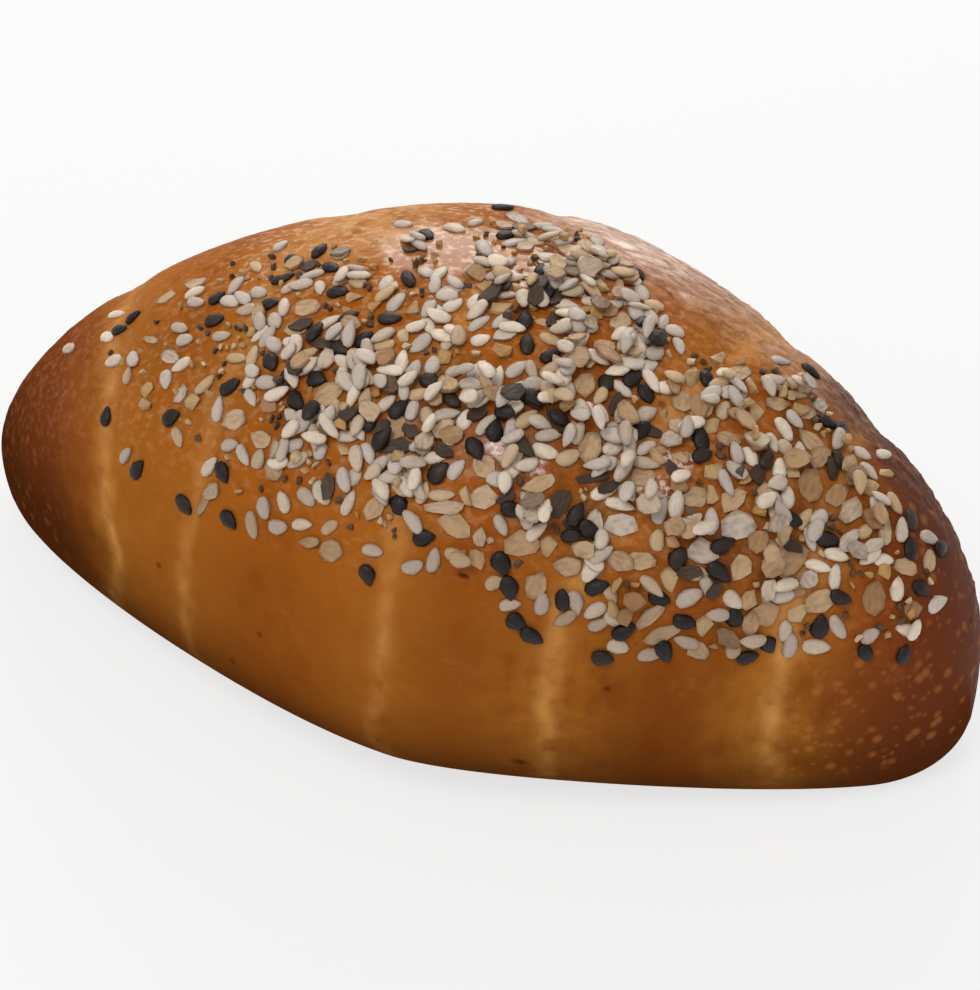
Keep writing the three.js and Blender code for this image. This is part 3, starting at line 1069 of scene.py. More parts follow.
def sesame_shape(name, pointed, rough):
    """A flattened drop: round at one end, more or less pointed at the other, and more or less uneven."""
    work = bmesh.new()
    bend = between(-0.1, 0.1)
    lopsided = between(-0.08, 0.08)
    rings = []
    for station, width in zip(SEED_STATIONS[1:-1], SEED_WIDTHS[1:-1]):
        width *= 1 - pointed * max(0.0, station - 0.45)
        ring = []
        for side in range(SEED_SIDES):
            turn = 2 * math.pi * side / SEED_SIDES
            y = width / 2 * math.cos(turn) * between(1 - rough, 1 + rough) + bend * (2 * station - 1) ** 2
            z = width ** 0.8 / 2 * math.sin(turn) * between(1 - rough, 1 + rough)
            z *= 1 + lopsided * math.cos(turn)
            ring.append(work.verts.new((station - 0.5, y, z)))
        rings.append(ring)
    blunt = work.verts.new((-0.5, bend, 0))
    point = work.verts.new((0.5 + between(0, 0.06), bend, 0))
    for i in range(SEED_SIDES):
        j = (i + 1) % SEED_SIDES
        work.faces.new((blunt, rings[0][j], rings[0][i]))
        work.faces.new((point, rings[-1][i], rings[-1][j]))
        for first, second in zip(rings, rings[1:]):
            work.faces.new((first[i], first[j], second[j], second[i]))
    return shape_object(work, name, smooth=True)


print("a seed has", len(SEED_STATIONS) - 2, "rings of", SEED_SIDES, "points")

# %% An onion flake
FLAKE_CORNERS = (7, 9)


def flake_shape(name):
    """A thin plate with an uneven outline, curled a little like the ring of onion it came from."""
    work = bmesh.new()
    sides = int(draw.integers(FLAKE_CORNERS[0], FLAKE_CORNERS[1] + 1))
    curl = between(-0.5, 1.1)
    fold = between(-0.4, 0.5)
    outline = []
    for side in range(sides):
        turn = 2 * math.pi * (side + between(-0.32, 0.32)) / sides
        reach = between(0.38, 0.54)
        outline.append((reach * math.cos(turn), reach * math.sin(turn)))

    def corner(x, y, level):
        bulge = curl * (x * x - 0.08) + fold * (y * y - 0.08)
        return work.verts.new((x, y, level + 2.4 * bulge))

    edges = {}
    for level in (0.5, -0.5):
        rim = [corner(x, y, level) for x, y in outline]
        inner = [corner(0.55 * x, 0.55 * y, level + between(-0.12, 0.12)) for x, y in outline]
        middle = corner(0, 0, level)
        for i in range(sides):
            j = (i + 1) % sides
            work.faces.new((rim[i], rim[j], inner[j], inner[i]))
            work.faces.new((inner[i], inner[j], middle))
        edges[level] = rim
    for i in range(sides):
        j = (i + 1) % sides
        work.faces.new((edges[0.5][i], edges[-0.5][i], edges[-0.5][j], edges[0.5][j]))
    for edge in work.edges:
        levels = {vertex in edges[0.5] or vertex in edges[-0.5] for vertex in edge.verts}
        edge.smooth = levels != {True}
    return shape_object(work, name, smooth=True)


print("a flake is a thin plate with", " to ".join(map(str, FLAKE_CORNERS)), "corners")

# %% A garlic grain
def grain_shape(name):
    """An irregular chip: the hull of a few points that lie roughly on a ball."""
    work = bmesh.new()
    for _ in range(13):
        direction = Vector(draw.normal(size=3)).normalized()
        work.verts.new(direction * between(0.42, 0.54))
    bmesh.ops.convex_hull(work, input=work.verts)
    inside = {point for point in work.verts if not point.link_faces}
    bmesh.ops.delete(work, geom=list(inside), context="VERTS")
    return shape_object(work, name, smooth=False)


def shape_set(name, shapes):
    """A collection of variants that the sprinkling tree picks from."""
    collection = bpy.data.collections.new(name)
    for shape in shapes:
        collection.objects.link(shape)
    return collection


white_seeds = [sesame_shape(f"white_{i}", between(0.0, 0.75), 0.07) for i in range(8)]
black_seeds = [sesame_shape(f"black_{i}", between(0.0, 0.6), 0.16) for i in range(8)]
white_shapes = shape_set("white_sesame_shapes", white_seeds)
black_shapes = shape_set("black_sesame_shapes", black_seeds)
flake_shapes = shape_set("onion_flake_shapes", [flake_shape(f"flake_{i}") for i in range(10)])
grain_shapes = shape_set("garlic_grain_shapes", [grain_shape(f"grain_{i}") for i in range(8)])

# %% [markdown]
# ## The kinds of topping
#
# White sesame makes up most of the sprinkle, with black sesame, onion flakes and garlic grains among it. The
# sizes are those of the real things, in millimetres, and they also gave the size of the loaf. Pieces lie
# baked into the glaze by a few tenths of a millimetre. A domed piece touches with its belly, a flat one
# with its rim. Each piece also keeps three numbers for its finish: a tone, a shade, and how far it lies
# down in the low fringe of the sprinkle, where the flank turns away from the light and the finish paints
# shade into its colour.

# %% Sizes, and a list of what has been laid down
KINDS = {
    "white_sesame": {
        "length": (2.8, 3.9), "width": (1.7, 2.4), "thick": (0.8, 1.15), "domed": True, "baked": 0.32,
    },
    "black_sesame": {
        "length": (2.7, 3.6), "width": (1.9, 2.5), "thick": (1.0, 1.3), "domed": True, "baked": 0.3,
    },
    "onion_flakes": {
        "length": (2.6, 4.2), "width": (2.0, 3.2), "thick": (0.3, 0.45), "domed": False, "baked": 0.12,
    },
    "garlic_grains": {
        "length": (1.6, 3.0), "width": (1.4, 2.4), "thick": (0.9, 1.4), "domed": True, "baked": 0.34,
    },
}
# The toppings in this fringe are painted browner, as painted shade.
LOW_FRINGE = (132, 150)  # how far round the loaf the sprinkle's shaded lower edge runs, in degrees
laid = {kind: [] for kind in KINDS}


def lay(kind, x, turn, spin, length=None, width=None, keep=False, tone=None, shade=None):
    """Draws the sizes that aren't given, lays one piece down and writes it in the list of its kind."""
    rule = KINDS[kind]
    size = (length or between(*rule["length"]), width or between(*rule["width"]), between(*rule["thick"]))
    size = tuple(measure * MM for measure in size)
    middle, directions = lay_down(x, turn, spin, size, rule["domed"], rule["baked"] * MM, keep)
    tilt = Matrix(directions).transposed().to_euler()
    tone = between(0, 1) if tone is None else tone
    shade = between(0, 1) if shade is None else shade
    # How far into the low fringe the piece lies; the finishes turn it into painted shade
    low = float(np.interp(math.degrees(turn), LOW_FRINGE, (0, 1)))
    numbers = {"tone": tone, "shade": shade, "low": low}
    laid[kind].append({"middle": middle, "tilt": tilt, "size": size, **numbers})


print(", ".join(KINDS))

# %% [markdown]
# ## The marked pieces
#
# These lists give pieces as read off the photograph: a pixel of it, and the turn of the piece in degrees
# against the clock. Where the sprinkle is thin, single pieces make the likeness, so there each one is
# marked. In the thick belt the marks hold only the pieces that stand out. The large pale flakes come first,
# then the grains and the white seeds. The charred flakes and the black seeds come last, because they mostly
# lie on top.

# %% A marked piece's place and turn
STEP_PIXELS = 5


def place_from_pixel(px, py, degrees):
    """Where a marked piece lies: along the loaf, round it, and its spin there."""
    here = crust_at(px, py)
    lean = math.radians(degrees)
    du = STEP_PIXELS * math.cos(lean)
    dv = STEP_PIXELS * math.sin(lean)
    ahead = crust_at(px + du, py - dv) or here
    behind = crust_at(px - du, py + dv) or here
    turn = math.atan2(here.z - AXIS_HEIGHT, here.y)
    along, across, _ = heights.directions(here.x, turn)
    step = np.array(ahead - behind)
    return here.x, turn, math.atan2(step @ across, step @ along)


print("a second ray, a little further along a piece, gives its turn")

# %% Flakes and grains: pixel, turn, length and width in mm, and tone from pale (0) to brown (1)
MARKED_FLAKES = [
    (809, 486, 70, 5.0, 4.0, 0.9), (835, 496, 60, 4.6, 3.2, 0.85), (873, 599, 80, 5.0, 3.6, 0.95),
    (739, 527, 10, 4.8, 4.4, 0.02), (703, 552, -20, 5.0, 3.6, 0.05), (789, 560, 20, 5.4, 4.6, 0.75),
    (772, 566, 40, 4.2, 3.4, 0.7), (764, 614, 0, 4.2, 3.8, 0.7), (750, 622, 80, 3.6, 2.8, 0.65),
    (812, 443, -40, 4.8, 3.6, 0.6), (819, 458, 45, 4.4, 3.0, 0.75), (776, 404, 10, 3.6, 2.8, 0.5),
    (804, 413, 20, 3.6, 2.8, 0.55), (727, 439, -20, 3.6, 2.2, 0.5), (733, 500, 30, 4.6, 2.8, 0.55),
    (695, 498, 10, 3.8, 3.0, 0.4), (740, 375, 30, 3.8, 2.8, 0.4), (682, 403, 80, 4.0, 3.2, 0.45),
    (604, 349, 20, 3.8, 3.2, 0.6), (585, 385, 60, 4.2, 3.2, 0.55), (517, 220, -40, 4.2, 3.0, 0.1),
    (533, 244, -10, 4.0, 2.8, 0.5), (568, 251, 20, 3.6, 3.0, 0.6), (307, 308, 10, 4.6, 4.0, 0.45),
    (297, 330, 0, 3.6, 3.0, 0.5), (198, 284, 10, 4.0, 2.8, 0.35), (167, 298, 20, 3.4, 3.0, 0.5),
    (171, 358, -30, 4.6, 2.2, 0.2), (152, 341, -15, 3.8, 1.3, 0.4), (236, 419, 20, 4.2, 3.6, 0.35),
    (331, 550, -10, 3.8, 3.2, 0.55), (311, 542, 5, 3.8, 1.8, 0.5), (456, 526, -40, 5.4, 3.2, 0.5),
    (445, 508, 0, 6.0, 2.0, 0.3), (375, 507, 55, 3.8, 2.8, 0.5), (523, 545, 10, 4.8, 3.8, 0.7),
    (568, 566, 0, 4.2, 3.2, 0.4), (536, 585, 60, 3.8, 3.4, 0.5), (540, 484, 20, 5.0, 2.6, 0.45),
    (589, 448, 60, 4.6, 3.2, 0.5), (622, 524, 5, 4.6, 3.4, 0.05), (643, 477, 0, 4.0, 3.2, 0.5),
    (484, 498, 0, 3.8, 3.6, 0.35), (484, 467, -50, 4.2, 3.2, 0.5), (393, 432, 60, 5.2, 4.2, 0.8),
    (663, 634, 20, 5.4, 2.2, 0.4), (651, 616, 40, 4.6, 2.2, 0.3), (820, 600, 30, 4.6, 3.6, 0.6),
    (905, 568, -15, 3.8, 2.6, 0.6), (850, 512, 45, 4.6, 3.0, 0.25), (741, 567, 70, 4.0, 3.4, 0.6),
    (885, 531, 85, 4.0, 2.0, 0.3), (595, 523, 80, 3.6, 2.6, 0.1), (205, 504, 60, 4.2, 1.5, 0.4),
    (213, 492, 35, 3.6, 2.4, 0.25), (640, 560, 10, 4.2, 3.0, 0.45), (620, 560, -30, 4.0, 2.8, 0.4),
    (330, 395, 30, 4.6, 3.6, 0.5), (262, 440, -20, 4.0, 3.0, 0.4), (620, 322, 40, 4.0, 3.0, 0.6),
]
MARKED_GRAINS = [
    (502, 352, 0, 3.4, 3.3, 0.95), (375, 308, 0, 2.5, 2.4, 0.9), (486, 289, 10, 3.2, 2.8, 0.8),
    (501, 308, 60, 3.6, 3.0, 0.5), (540, 320, 0, 3.4, 3.0, 0.3), (354, 299, -20, 3.2, 2.4, 0.6),
    (415, 310, 50, 3.4, 2.4, 0.5), (680, 455, 0, 3.2, 2.8, 0.3), (712, 469, 80, 3.4, 2.8, 0.6),
    (751, 388, -60, 3.4, 2.0, 0.5), (692, 378, 60, 3.8, 2.8, 0.5), (719, 360, 20, 3.4, 2.4, 0.6),
    (799, 410, 60, 3.4, 2.6, 0.6), (602, 288, -60, 3.4, 2.6, 0.5), (617, 288, 70, 3.4, 2.4, 0.5),
    (148, 390, 0, 3.2, 2.6, 0.7), (147, 402, 0, 3.4, 2.4, 0.6), (194, 402, 10, 3.2, 2.6, 0.5),
    (550, 547, -60, 3.4, 2.6, 0.4), (477, 560, -70, 3.4, 2.4, 0.4), (467, 498, -80, 3.4, 2.4, 0.5),
    (796, 611, 80, 3.6, 2.8, 0.3), (749, 599, 60, 3.4, 2.4, 0.6), (712, 495, 85, 3.4, 2.2, 0.5),
    (757, 415, -60, 3.4, 2.4, 0.5), (869, 488, 0, 3.4, 2.8, 0.6), (883, 472, 20, 3.4, 2.6, 0.5),
    (706, 626, -60, 3.4, 2.8, 0.3), (672, 580, -50, 4.0, 2.8, 0.3), (712, 426, 30, 3.2, 2.2, 0.6),
]
CHARRED_FLAKES = [  # all of one tone
    (382, 432, 70, 3.6, 2.4), (399, 447, 5, 4.2, 2.6), (411, 432, -30, 2.8, 2.0), (530, 402, -40, 4.4, 1.7),
    (556, 424, -55, 5.0, 2.1), (561, 503, 60, 4.0, 3.0), (577, 524, -30, 4.0, 2.8), (590, 478, 10, 5.0, 1.5),
    (607, 488, 20, 4.0, 1.8), (648, 432, -15, 4.2, 1.8), (507, 497, 30, 3.0, 2.0), (690, 571, 10, 3.6, 2.2),
    (757, 474, 70, 3.2, 2.2), (303, 327, 20, 3.8, 2.6), (322, 345, -20, 4.2, 2.0), (552, 322, 80, 3.4, 2.2),
    (556, 300, 60, 3.6, 2.2), (672, 470, -60, 3.0, 1.8), (830, 470, -80, 3.4, 2.0), (712, 590, 60, 3.0, 2.0),
    (476, 415, 20, 3.2, 1.8), (444, 452, -30, 3.0, 1.8), (616, 405, 70, 3.4, 1.8), (790, 545, -20, 3.6, 2.0),
]
print(len(MARKED_FLAKES), "flakes,", len(MARKED_GRAINS), "grains and", len(CHARRED_FLAKES), "charred flakes")

# %% White seeds: pixel and turn
MARKED_WHITE_SEEDS = [
    (70, 349, -10), (117, 315, 5), (108, 338, -25), (181, 329, -15), (186, 341, 5), (167, 380, -85),
    (129, 376, 80), (196, 303, -15), (222, 337, 5), (206, 386, 45), (178, 437, -70), (127, 455, 55),
    (231, 445, 10), (244, 456, -65), (253, 357, 75), (264, 508, -80), (252, 525, -80), (279, 527, -5),
    (330, 527, 35), (349, 503, 65), (382, 495, -60), (373, 550, -10), (413, 567, 15), (434, 560, 75),
    (495, 582, 20), (501, 525, -65), (536, 531, 40), (403, 225, -10), (455, 229, -15), (476, 224, 20),
    (514, 244, 10), (484, 249, -60), (439, 275, 45), (387, 284, 60), (396, 303, 50), (321, 289, -80),
    (330, 322, 30), (309, 355, 30), (259, 294, -25), (285, 308, 85), (276, 322, -60), (281, 247, 40),
    (257, 268, -50), (429, 327, -60), (453, 306, 30), (474, 303, 70), (479, 324, 35), (481, 341, 15),
    (552, 341, -25), (569, 284, -35), (592, 303, -15), (566, 306, -10), (547, 258, 10), (581, 318, -60),
    (642, 294, -70), (650, 319, -60), (679, 347, -70), (648, 366, 25), (517, 369, 35), (531, 372, -70),
    (347, 437, -10), (369, 454, -70), (366, 399, 75), (387, 404, 40), (412, 410, 70), (428, 419, -75),
    (446, 415, 15), (465, 420, 65), (420, 395, 10), (402, 362, 80), (414, 370, 60), (433, 366, 70),
    (456, 372, 20), (477, 370, 45), (498, 378, 80), (519, 389, 30), (534, 385, 10), (568, 393, -80),
    (383, 490, -60), (442, 496, 0), (433, 458, 0), (456, 469, 50), (486, 425, 45), (511, 429, 80),
    (526, 420, 40), (540, 423, -20), (549, 435, 10), (545, 452, -20), (568, 458, 20), (601, 414, -60),
    (614, 448, 25), (646, 414, 30), (622, 390, -40), (646, 448, 30), (604, 492, 20), (657, 540, 85),
    (723, 411, 65), (784, 430, -60), (772, 443, -65), (785, 450, -60), (861, 455, -30), (883, 455, 10),
    (868, 473, -50), (893, 504, -60), (725, 484, -65), (711, 521, 85), (804, 519, 60), (865, 532, 40),
    (901, 530, 85), (883, 560, -5), (928, 538, -20), (937, 603, 35), (896, 589, 85), (660, 510, 70),
    (645, 465, -10), (697, 573, -10), (707, 586, -65), (733, 600, -45), (733, 648, 85), (785, 630, 85),
    (790, 644, 80), (816, 646, -5), (837, 627, -60), (818, 566, -15), (834, 577, 85), (599, 624, 20),
    (618, 646, -10), (650, 654, 10), (576, 602, -75), (611, 595, -60), (689, 597, 30), (929, 561, 80),
    (780, 361, -10), (787, 498, 85), (750, 458, -55), (779, 470, 80), (510, 604, 10), (542, 603, 80),
]
print(len(MARKED_WHITE_SEEDS), "white seeds are marked")

# %% Black seeds: pixel and turn
MARKED_BLACK_SEEDS = [
    (107, 417, 80), (138, 469, 57), (185, 504, -52), (230, 519, -50), (224, 472, -65), (172, 418, 25),
    (231, 388, 30), (120, 331, 5), (134, 318, 40), (218, 300, 37), (215, 322, 10), (294, 262, -22),
    (320, 253, 45), (331, 269, -25), (283, 280, 20), (426, 236, -40), (408, 281, -65), (390, 320, 0),
    (316, 335, 55), (364, 340, 42), (342, 350, -20), (272, 363, -63), (348, 319, 30), (338, 293, 0),
    (270, 305, 10), (317, 380, -10), (297, 402, -60), (430, 382, -30), (541, 272, 80), (548, 296, -60),
    (525, 322, 85), (527, 345, 85), (505, 236, 15), (503, 209, 0), (551, 357, 30), (636, 276, -38),
    (810, 372, -40), (705, 381, -80), (607, 384, 88), (631, 380, 40), (645, 394, -70), (700, 441, -80),
    (701, 456, 20), (764, 461, 60), (792, 521, -30), (827, 540, -10), (826, 423, -30), (839, 430, 50),
    (835, 460, -80), (910, 521, 88), (909, 549, 85), (939, 548, 30), (920, 588, -35), (839, 597, -25),
    (718, 571, -40), (678, 558, 60), (722, 545, 20), (659, 598, -15), (735, 616, 88), (820, 626, 75),
    (768, 644, -60), (747, 657, 15), (864, 652, -60), (903, 654, 70), (624, 631, 25), (663, 650, -70),
    (683, 622, -20), (399, 410, 50), (452, 402, -40), (532, 402, -45), (557, 422, -45), (494, 431, 80),
    (475, 449, -60), (439, 473, 40), (399, 505, -75), (424, 537, 10), (511, 509, -20), (641, 431, 35),
    (368, 574, -75), (501, 563, -70), (509, 587, -80), (516, 621, -35), (531, 635, -35), (564, 599, 85),
    (597, 587, 15), (602, 657, -10), (575, 515, 60), (588, 529, -40), (571, 533, 10), (384, 440, 50),
]
print(len(MARKED_BLACK_SEEDS), "black seeds are marked")

# %% Laying the marked pieces
CHARRED = 0.97       # a flake or grain with a shade above about 0.9 is burnt
UNBURNT = (0, 0.8)   # the range of shades for one that isn't


def lay_marked(kind, px, py, degrees, *size, **finish):
    lay(kind, *place_from_pixel(px, py, degrees), *size, keep=True, **finish)


for kind, marks in {"onion_flakes": MARKED_FLAKES, "garlic_grains": MARKED_GRAINS}.items():
    for *mark, tone in marks:
        lay_marked(kind, *mark, tone=tone, shade=between(*UNBURNT))
for mark in MARKED_WHITE_SEEDS:
    lay_marked("white_sesame", *mark)
for mark in CHARRED_FLAKES:
    lay_marked("onion_flakes", *mark, tone=1.0, shade=CHARRED)
for mark in MARKED_BLACK_SEEDS:
    lay_marked("black_sesame", *mark)
print("marked pieces:", {kind: len(pieces) for kind, pieces in laid.items()})

# %% [markdown]
# ## Filling the sprinkle
#
# The rest of the sprinkle is thrown, as the baker's hand threw it: thickest in a belt along the topped side,
# thinner over the crest and towards the tips, with bare patches between. Each throw tries a few places and
# takes the least crowded one, so the pieces fill gaps before they pile up, and hardly any hides a marked
# piece. Nothing piles up on the crest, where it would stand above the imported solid. Three rounds are
# thrown: the main one, a second one on the belt, where pieces overlap two or three deep, and last the
# crumbs, of which many are burnt. Crumbs lie only in gaps, because on a pale seed a burnt one looks like an
# eye.

# %% Where the sprinkle is thick
# How far round the loaf the sprinkle reaches, in degrees, at places along it in millimetres.
FAR_EDGE = [
    (-60, 114), (-51, 106), (-44, 92), (-36, 87), (-22, 86), (-10, 80), (-3, 67), (11, 68), (20, 78),
    (32, 88), (38, 84), (45, 79), (53, 86), (62, 97), (71, 112),
]
NEAR_EDGE = [
    (-60, 115), (-50, 134), (-40, 147), (-27, 151), (-11, 148), (3, 150), (15, 147), (24, 152), (33, 155),
    (45, 153), (52, 148), (62, 145), (68, 136), (71, 115),
]
EDGE_SOFTNESS = 4  # degrees
# Pixels where pieces lie thickly, with how far that reaches sideways and up, and how thickly they lie.
THICK_PLACES = [
    (470, 400, 110, 55, 1.0), (600, 420, 90, 75, 1.0), (560, 500, 90, 45, 0.9), (730, 530, 100, 60, 1.0),
    (800, 450, 55, 70, 1.0), (590, 300, 85, 65, 0.8), (310, 340, 60, 60, 0.35), (320, 430, 55, 40, 0.4),
    (180, 350, 60, 50, 0.04), (890, 530, 40, 80, 0.3), (740, 610, 110, 32, 0.6), (560, 590, 70, 30, 0.35),
    (440, 300, 120, 50, 0.25), (680, 440, 110, 60, 0.7), (400, 480, 60, 35, 0.45),
]
BELT_PLACES = [
    (440, 395, 75, 26, 1.0), (520, 415, 70, 40, 1.0), (600, 430, 65, 48, 1.0), (560, 505, 50, 26, 0.8),
    (735, 545, 62, 38, 0.9), (800, 455, 36, 45, 0.8), (395, 455, 45, 26, 0.5), (570, 292, 55, 26, 0.6),
    (480, 500, 40, 30, 0.5),
]
# Pixels where the crust shows bare, with a radius in pixels.
BARE_PLACES = [
    (470, 352, 20), (605, 335, 20), (660, 400, 22), (725, 425, 22), (504, 448, 17), (530, 464, 16),
    (640, 538, 26), (440, 522, 26), (335, 470, 24), (662, 480, 22), (686, 466, 16), (460, 320, 16),
    (670, 360, 24), (515, 272, 22), (870, 585, 24), (565, 572, 20), (745, 445, 18), (705, 600, 18),
    (540, 330, 16), (600, 580, 16), (456, 258, 24), (367, 246, 24), (376, 272, 15), (405, 258, 15),
]
BARENESS = 0.93    # this share of the pieces stays away from a bare place
HIGHEST = cad_box[1].z - 0.5 * MM
TALLEST_PILE = 1.5 * MM
BELT_PILE = 2.2 * MM
CRUMB_PILE = 0.35 * MM
RIGHT_PART = (600, 740)   # from the first pixel to the second, the liking for a kind changes
MOST_LOOKS = 400          # for a place that takes a piece


def thickness_at(x, turn, places):
    """How likely a piece is to lie at a place, from 0 to 1."""
    degrees = math.degrees(turn)
    far = np.interp(x / MM, *zip(*FAR_EDGE))
    near = np.interp(x / MM, *zip(*NEAR_EDGE))
    inside = np.prod(np.clip(((degrees - far) / EDGE_SOFTNESS, (near - degrees) / EDGE_SOFTNESS), 0, 1))
    px, py = pixel_of(heights.bare_point(x, turn))
    thick = sum(
        weight * math.exp(-((px - u) / wide) ** 2 - ((py - v) / tall) ** 2)
        for u, v, wide, tall, weight in places)
    bare = max(
        math.exp(-(((px - u) ** 2 + (py - v) ** 2) / radius ** 2) ** 2)
        for u, v, radius in BARE_PLACES)
    return inside * min(1.0, thick) * (1 - BARENESS * bare), px


def throw(kind, left, right, tries, places=THICK_PLACES, pile=TALLEST_PILE, hidden=0.3, **sizes):
    """Throws one piece: the least crowded of a few likely places, or none if all of them hide a marked one.

    Left and right are the liking for this kind in either part of the sprinkle. Hidden is how much of a
    marked piece may be covered.
    """
    best = None
    for _ in range(MOST_LOOKS):
        x = between(-60, 71) * MM
        turn = math.radians(between(60, 158))
        thick, px = thickness_at(x, turn, places)
        liking = np.interp(px, RIGHT_PART, (left, right))
        if between(0, 1) > thick * liking:
            continue
        spin = between(0, 2 * math.pi)
        rule = KINDS[kind]
        footprint = (rule["length"][0] * MM, rule["width"][0] * MM)
        raised, kept = crowding(x, turn, spin, footprint)
        if raised > pile or heights.bare_point(x, turn)[2] + raised > HIGHEST:
            continue
        if kept < hidden and (best is None or raised + kept * MM < best[0]):
            best = (raised + kept * MM, x, turn, spin)
        tries -= 1
        if tries == 0:
            break
    if best:
        lay(kind, *best[1:], **sizes)


print(len(THICK_PLACES), "thick places,", len(BARE_PLACES), "bare ones, and", len(BELT_PLACES), "on the belt")

# %% Throwing the rest
THROWN = {"onion_flakes": 140, "white_sesame": 360, "garlic_grains": 110, "black_sesame": 12}
LIKINGS = {  # left and right
    "onion_flakes": (0.5, 1.0),
    "white_sesame": (1.0, 0.6),
    "garlic_grains": (0.6, 1.0),
    "black_sesame": (1.0, 1.0),
}
BELT_THROWS = 140
BELT_FLAKE_SHARE = 0.28
CRUMBS = 220
BURNT_SHARE = 0.45

order = [kind for kind, count in THROWN.items() for _ in range(count)]
draw.shuffle(order)
for kind in order:
    throw(kind, *LIKINGS[kind], tries=4)
for _ in range(BELT_THROWS):
    kind = "onion_flakes" if between(0, 1) < BELT_FLAKE_SHARE else "white_sesame"
    throw(kind, 1.0, 0.8, tries=3, places=BELT_PLACES, pile=BELT_PILE, hidden=0.42)
for _ in range(CRUMBS):
    size = {"length": between(0.8, 1.8), "width": between(0.7, 1.4)}
    shade = CHARRED if between(0, 1) < BURNT_SHARE else between(*UNBURNT)
    throw("garlic_grains", 0.8, 1.0, tries=6, pile=CRUMB_PILE, shade=shade, **size)
print("all pieces:", {kind: len(pieces) for kind, pieces in laid.items()})

# %% [markdown]
# ## Making the toppings
#
# Each list becomes a mesh of bare points that carry the tilt, size, variant and colour of their pieces. A
# small tree then puts an instance of a picked variant on every point. The instances are made real, because
# an export can't carry them, and their points are pushed in and out a little by noise, so that even
# pieces of the same variant differ.

# %% The sprinkling tree
LUMP_SIZE = 1.4 * MM


def points_of(pieces, name, variants):
    """A mesh of loose points that carry what the tree needs to know about each piece."""
    mesh = bpy.data.meshes.new(name + "_points")
    mesh.from_pydata([piece["middle"] for piece in pieces], [], [])
    for key in ("tilt", "size"):
        attribute = mesh.attributes.new(key, "FLOAT_VECTOR", "POINT")
        attribute.data.foreach_set("vector", [number for piece in pieces for number in piece[key]])
    which = mesh.attributes.new("which", "INT", "POINT")
    which.data.foreach_set("value", [int(draw.integers(variants)) for _ in pieces])
    for key in ("tone", "shade", "low"):
        attribute = mesh.attributes.new(key, "FLOAT", "POINT")
        attribute.data.foreach_set("value", [piece[key] for piece in pieces])
    return mesh


def sprinkle(name, shapes, material, unevenness):
    """Grows one kind of topping and returns it as a plain mesh."""
    values = {"Shapes": shapes, "Unevenness": unevenness, "Finish": material}
    tree = new_tree("sprinkle_" + name, values)
    source = tree.nodes.new("NodeGroupInput")
    variants = add_node(tree, "GeometryNodeCollectionInfo", {
        "Collection": source.outputs["Shapes"], "Separate Children": True, "Reset Children": True})
    tilt = add_node(tree, "FunctionNodeEulerToRotation", {0: named_field(tree, "tilt", "FLOAT_VECTOR")})
    placed = add_node(tree, "GeometryNodeInstanceOnPoints", {
        "Points": source.outputs["Mesh"],
        "Instance": variants.outputs[0],
        "Pick Instance": True,
        "Instance Index": named_field(tree, "which", "INT"),
        "Rotation": tilt.outputs[0],
        "Scale": named_field(tree, "size", "FLOAT_VECTOR"),
    })
    real = add_node(tree, "GeometryNodeRealizeInstances", {"Geometry": placed.outputs[0]})
    place = add_node(tree, "GeometryNodeInputPosition").outputs[0]
    lumps = noise(tree, place, LUMP_SIZE, seed=21) * Field(tree, source.outputs["Unevenness"])
    uneven = push_out(tree, real.outputs[0], lumps)
    close_tree(tree, uneven, source.outputs["Finish"])
    piece = grow(tree, points_of(laid[name], name, len(shapes.objects)), name, values)
    for shape in list(shapes.objects):
        bpy.data.objects.remove(shape)
    bpy.data.collections.remove(shapes)
    return piece


print("one tree serves every kind of topping")

# %% [markdown]
# ## The toppings' finishes
#
# Untoasted sesame is creamy white with a matt skin, and some seeds are a shade greyer or browner. Black
# sesame is charcoal with a faint sheen. Onion flakes are tan and half see-through, with fine stripes along
# them. Garlic is pale yellow, toasted at its edges, and a few flakes and crumbs are burnt. Each piece
# carries a tone and a shade of its own, so one material makes the whole range, and fine noise keeps any
# single piece from looking flat. A seed is painted browner towards its tip and rims, as shade where it
# curves away. The photograph shows the pieces in the low fringe browner, and there they are painted
# browner, as shade where the flank turns away from the light.

# %% Sesame, white and black
def start_topping(material):
    """Starts a finish. Also returns each piece's own coordinates, and the numbers that it carries."""
    tree, shader, place = start_finish(material, Specular_IOR_Level=0.35)
    own = add_node(tree, "ShaderNodeAttribute", attribute_name="own").outputs["Vector"]
    given = [read_attribute(tree, name) for name in ("tone", "shade", "low")]
    return tree, shader, place, own, given


def finish_seeds(material, colours):
    """A matt seed skin in three tones, with a browner one for darker seeds and for painted shade: at the tips
    and rims, and in the low fringe.
    """
    tree, shader, place, own, (tone, shade, low) = start_topping(material)
    usual, greyer, warmer, browner = colours
    mottle = noise(tree, place, 0.8 * MM, seed=31, detail=3.0)
    # Where the seed curves away at its tip and rims, its colour gets painted shade.
    tip = part_of(tree, own, "X").rise(0.3, 0.5)
    rim = part_of(tree, own, "Y").math("ABSOLUTE").rise(0.24, 0.5)
    feed(tree, shader.inputs["Base Color"], lay_over(tree, usual, [
        (tone.rise(0.1, 0.55), greyer),
        (tone.rise(0.72, 0.95), warmer),
        ((shade * 0.35 + mottle * 0.3).clamp(), browner),
        # painted shade: browner in the low fringe of the sprinkle
        (low * 0.55, browner),
        # painted shade towards the pointed tip and the rims
        ((tip * 0.4 + rim * 0.45).clamp(), browner),
    ]))
    feed(tree, shader.inputs["Roughness"], (mottle * 0.1 + 0.5).clamp())
    grain = noise(tree, stretched(tree, own, (0.5, 2.0, 2.0)), 0.35, seed=33)
    bump(tree, shader, grain, 0.12 * MM)


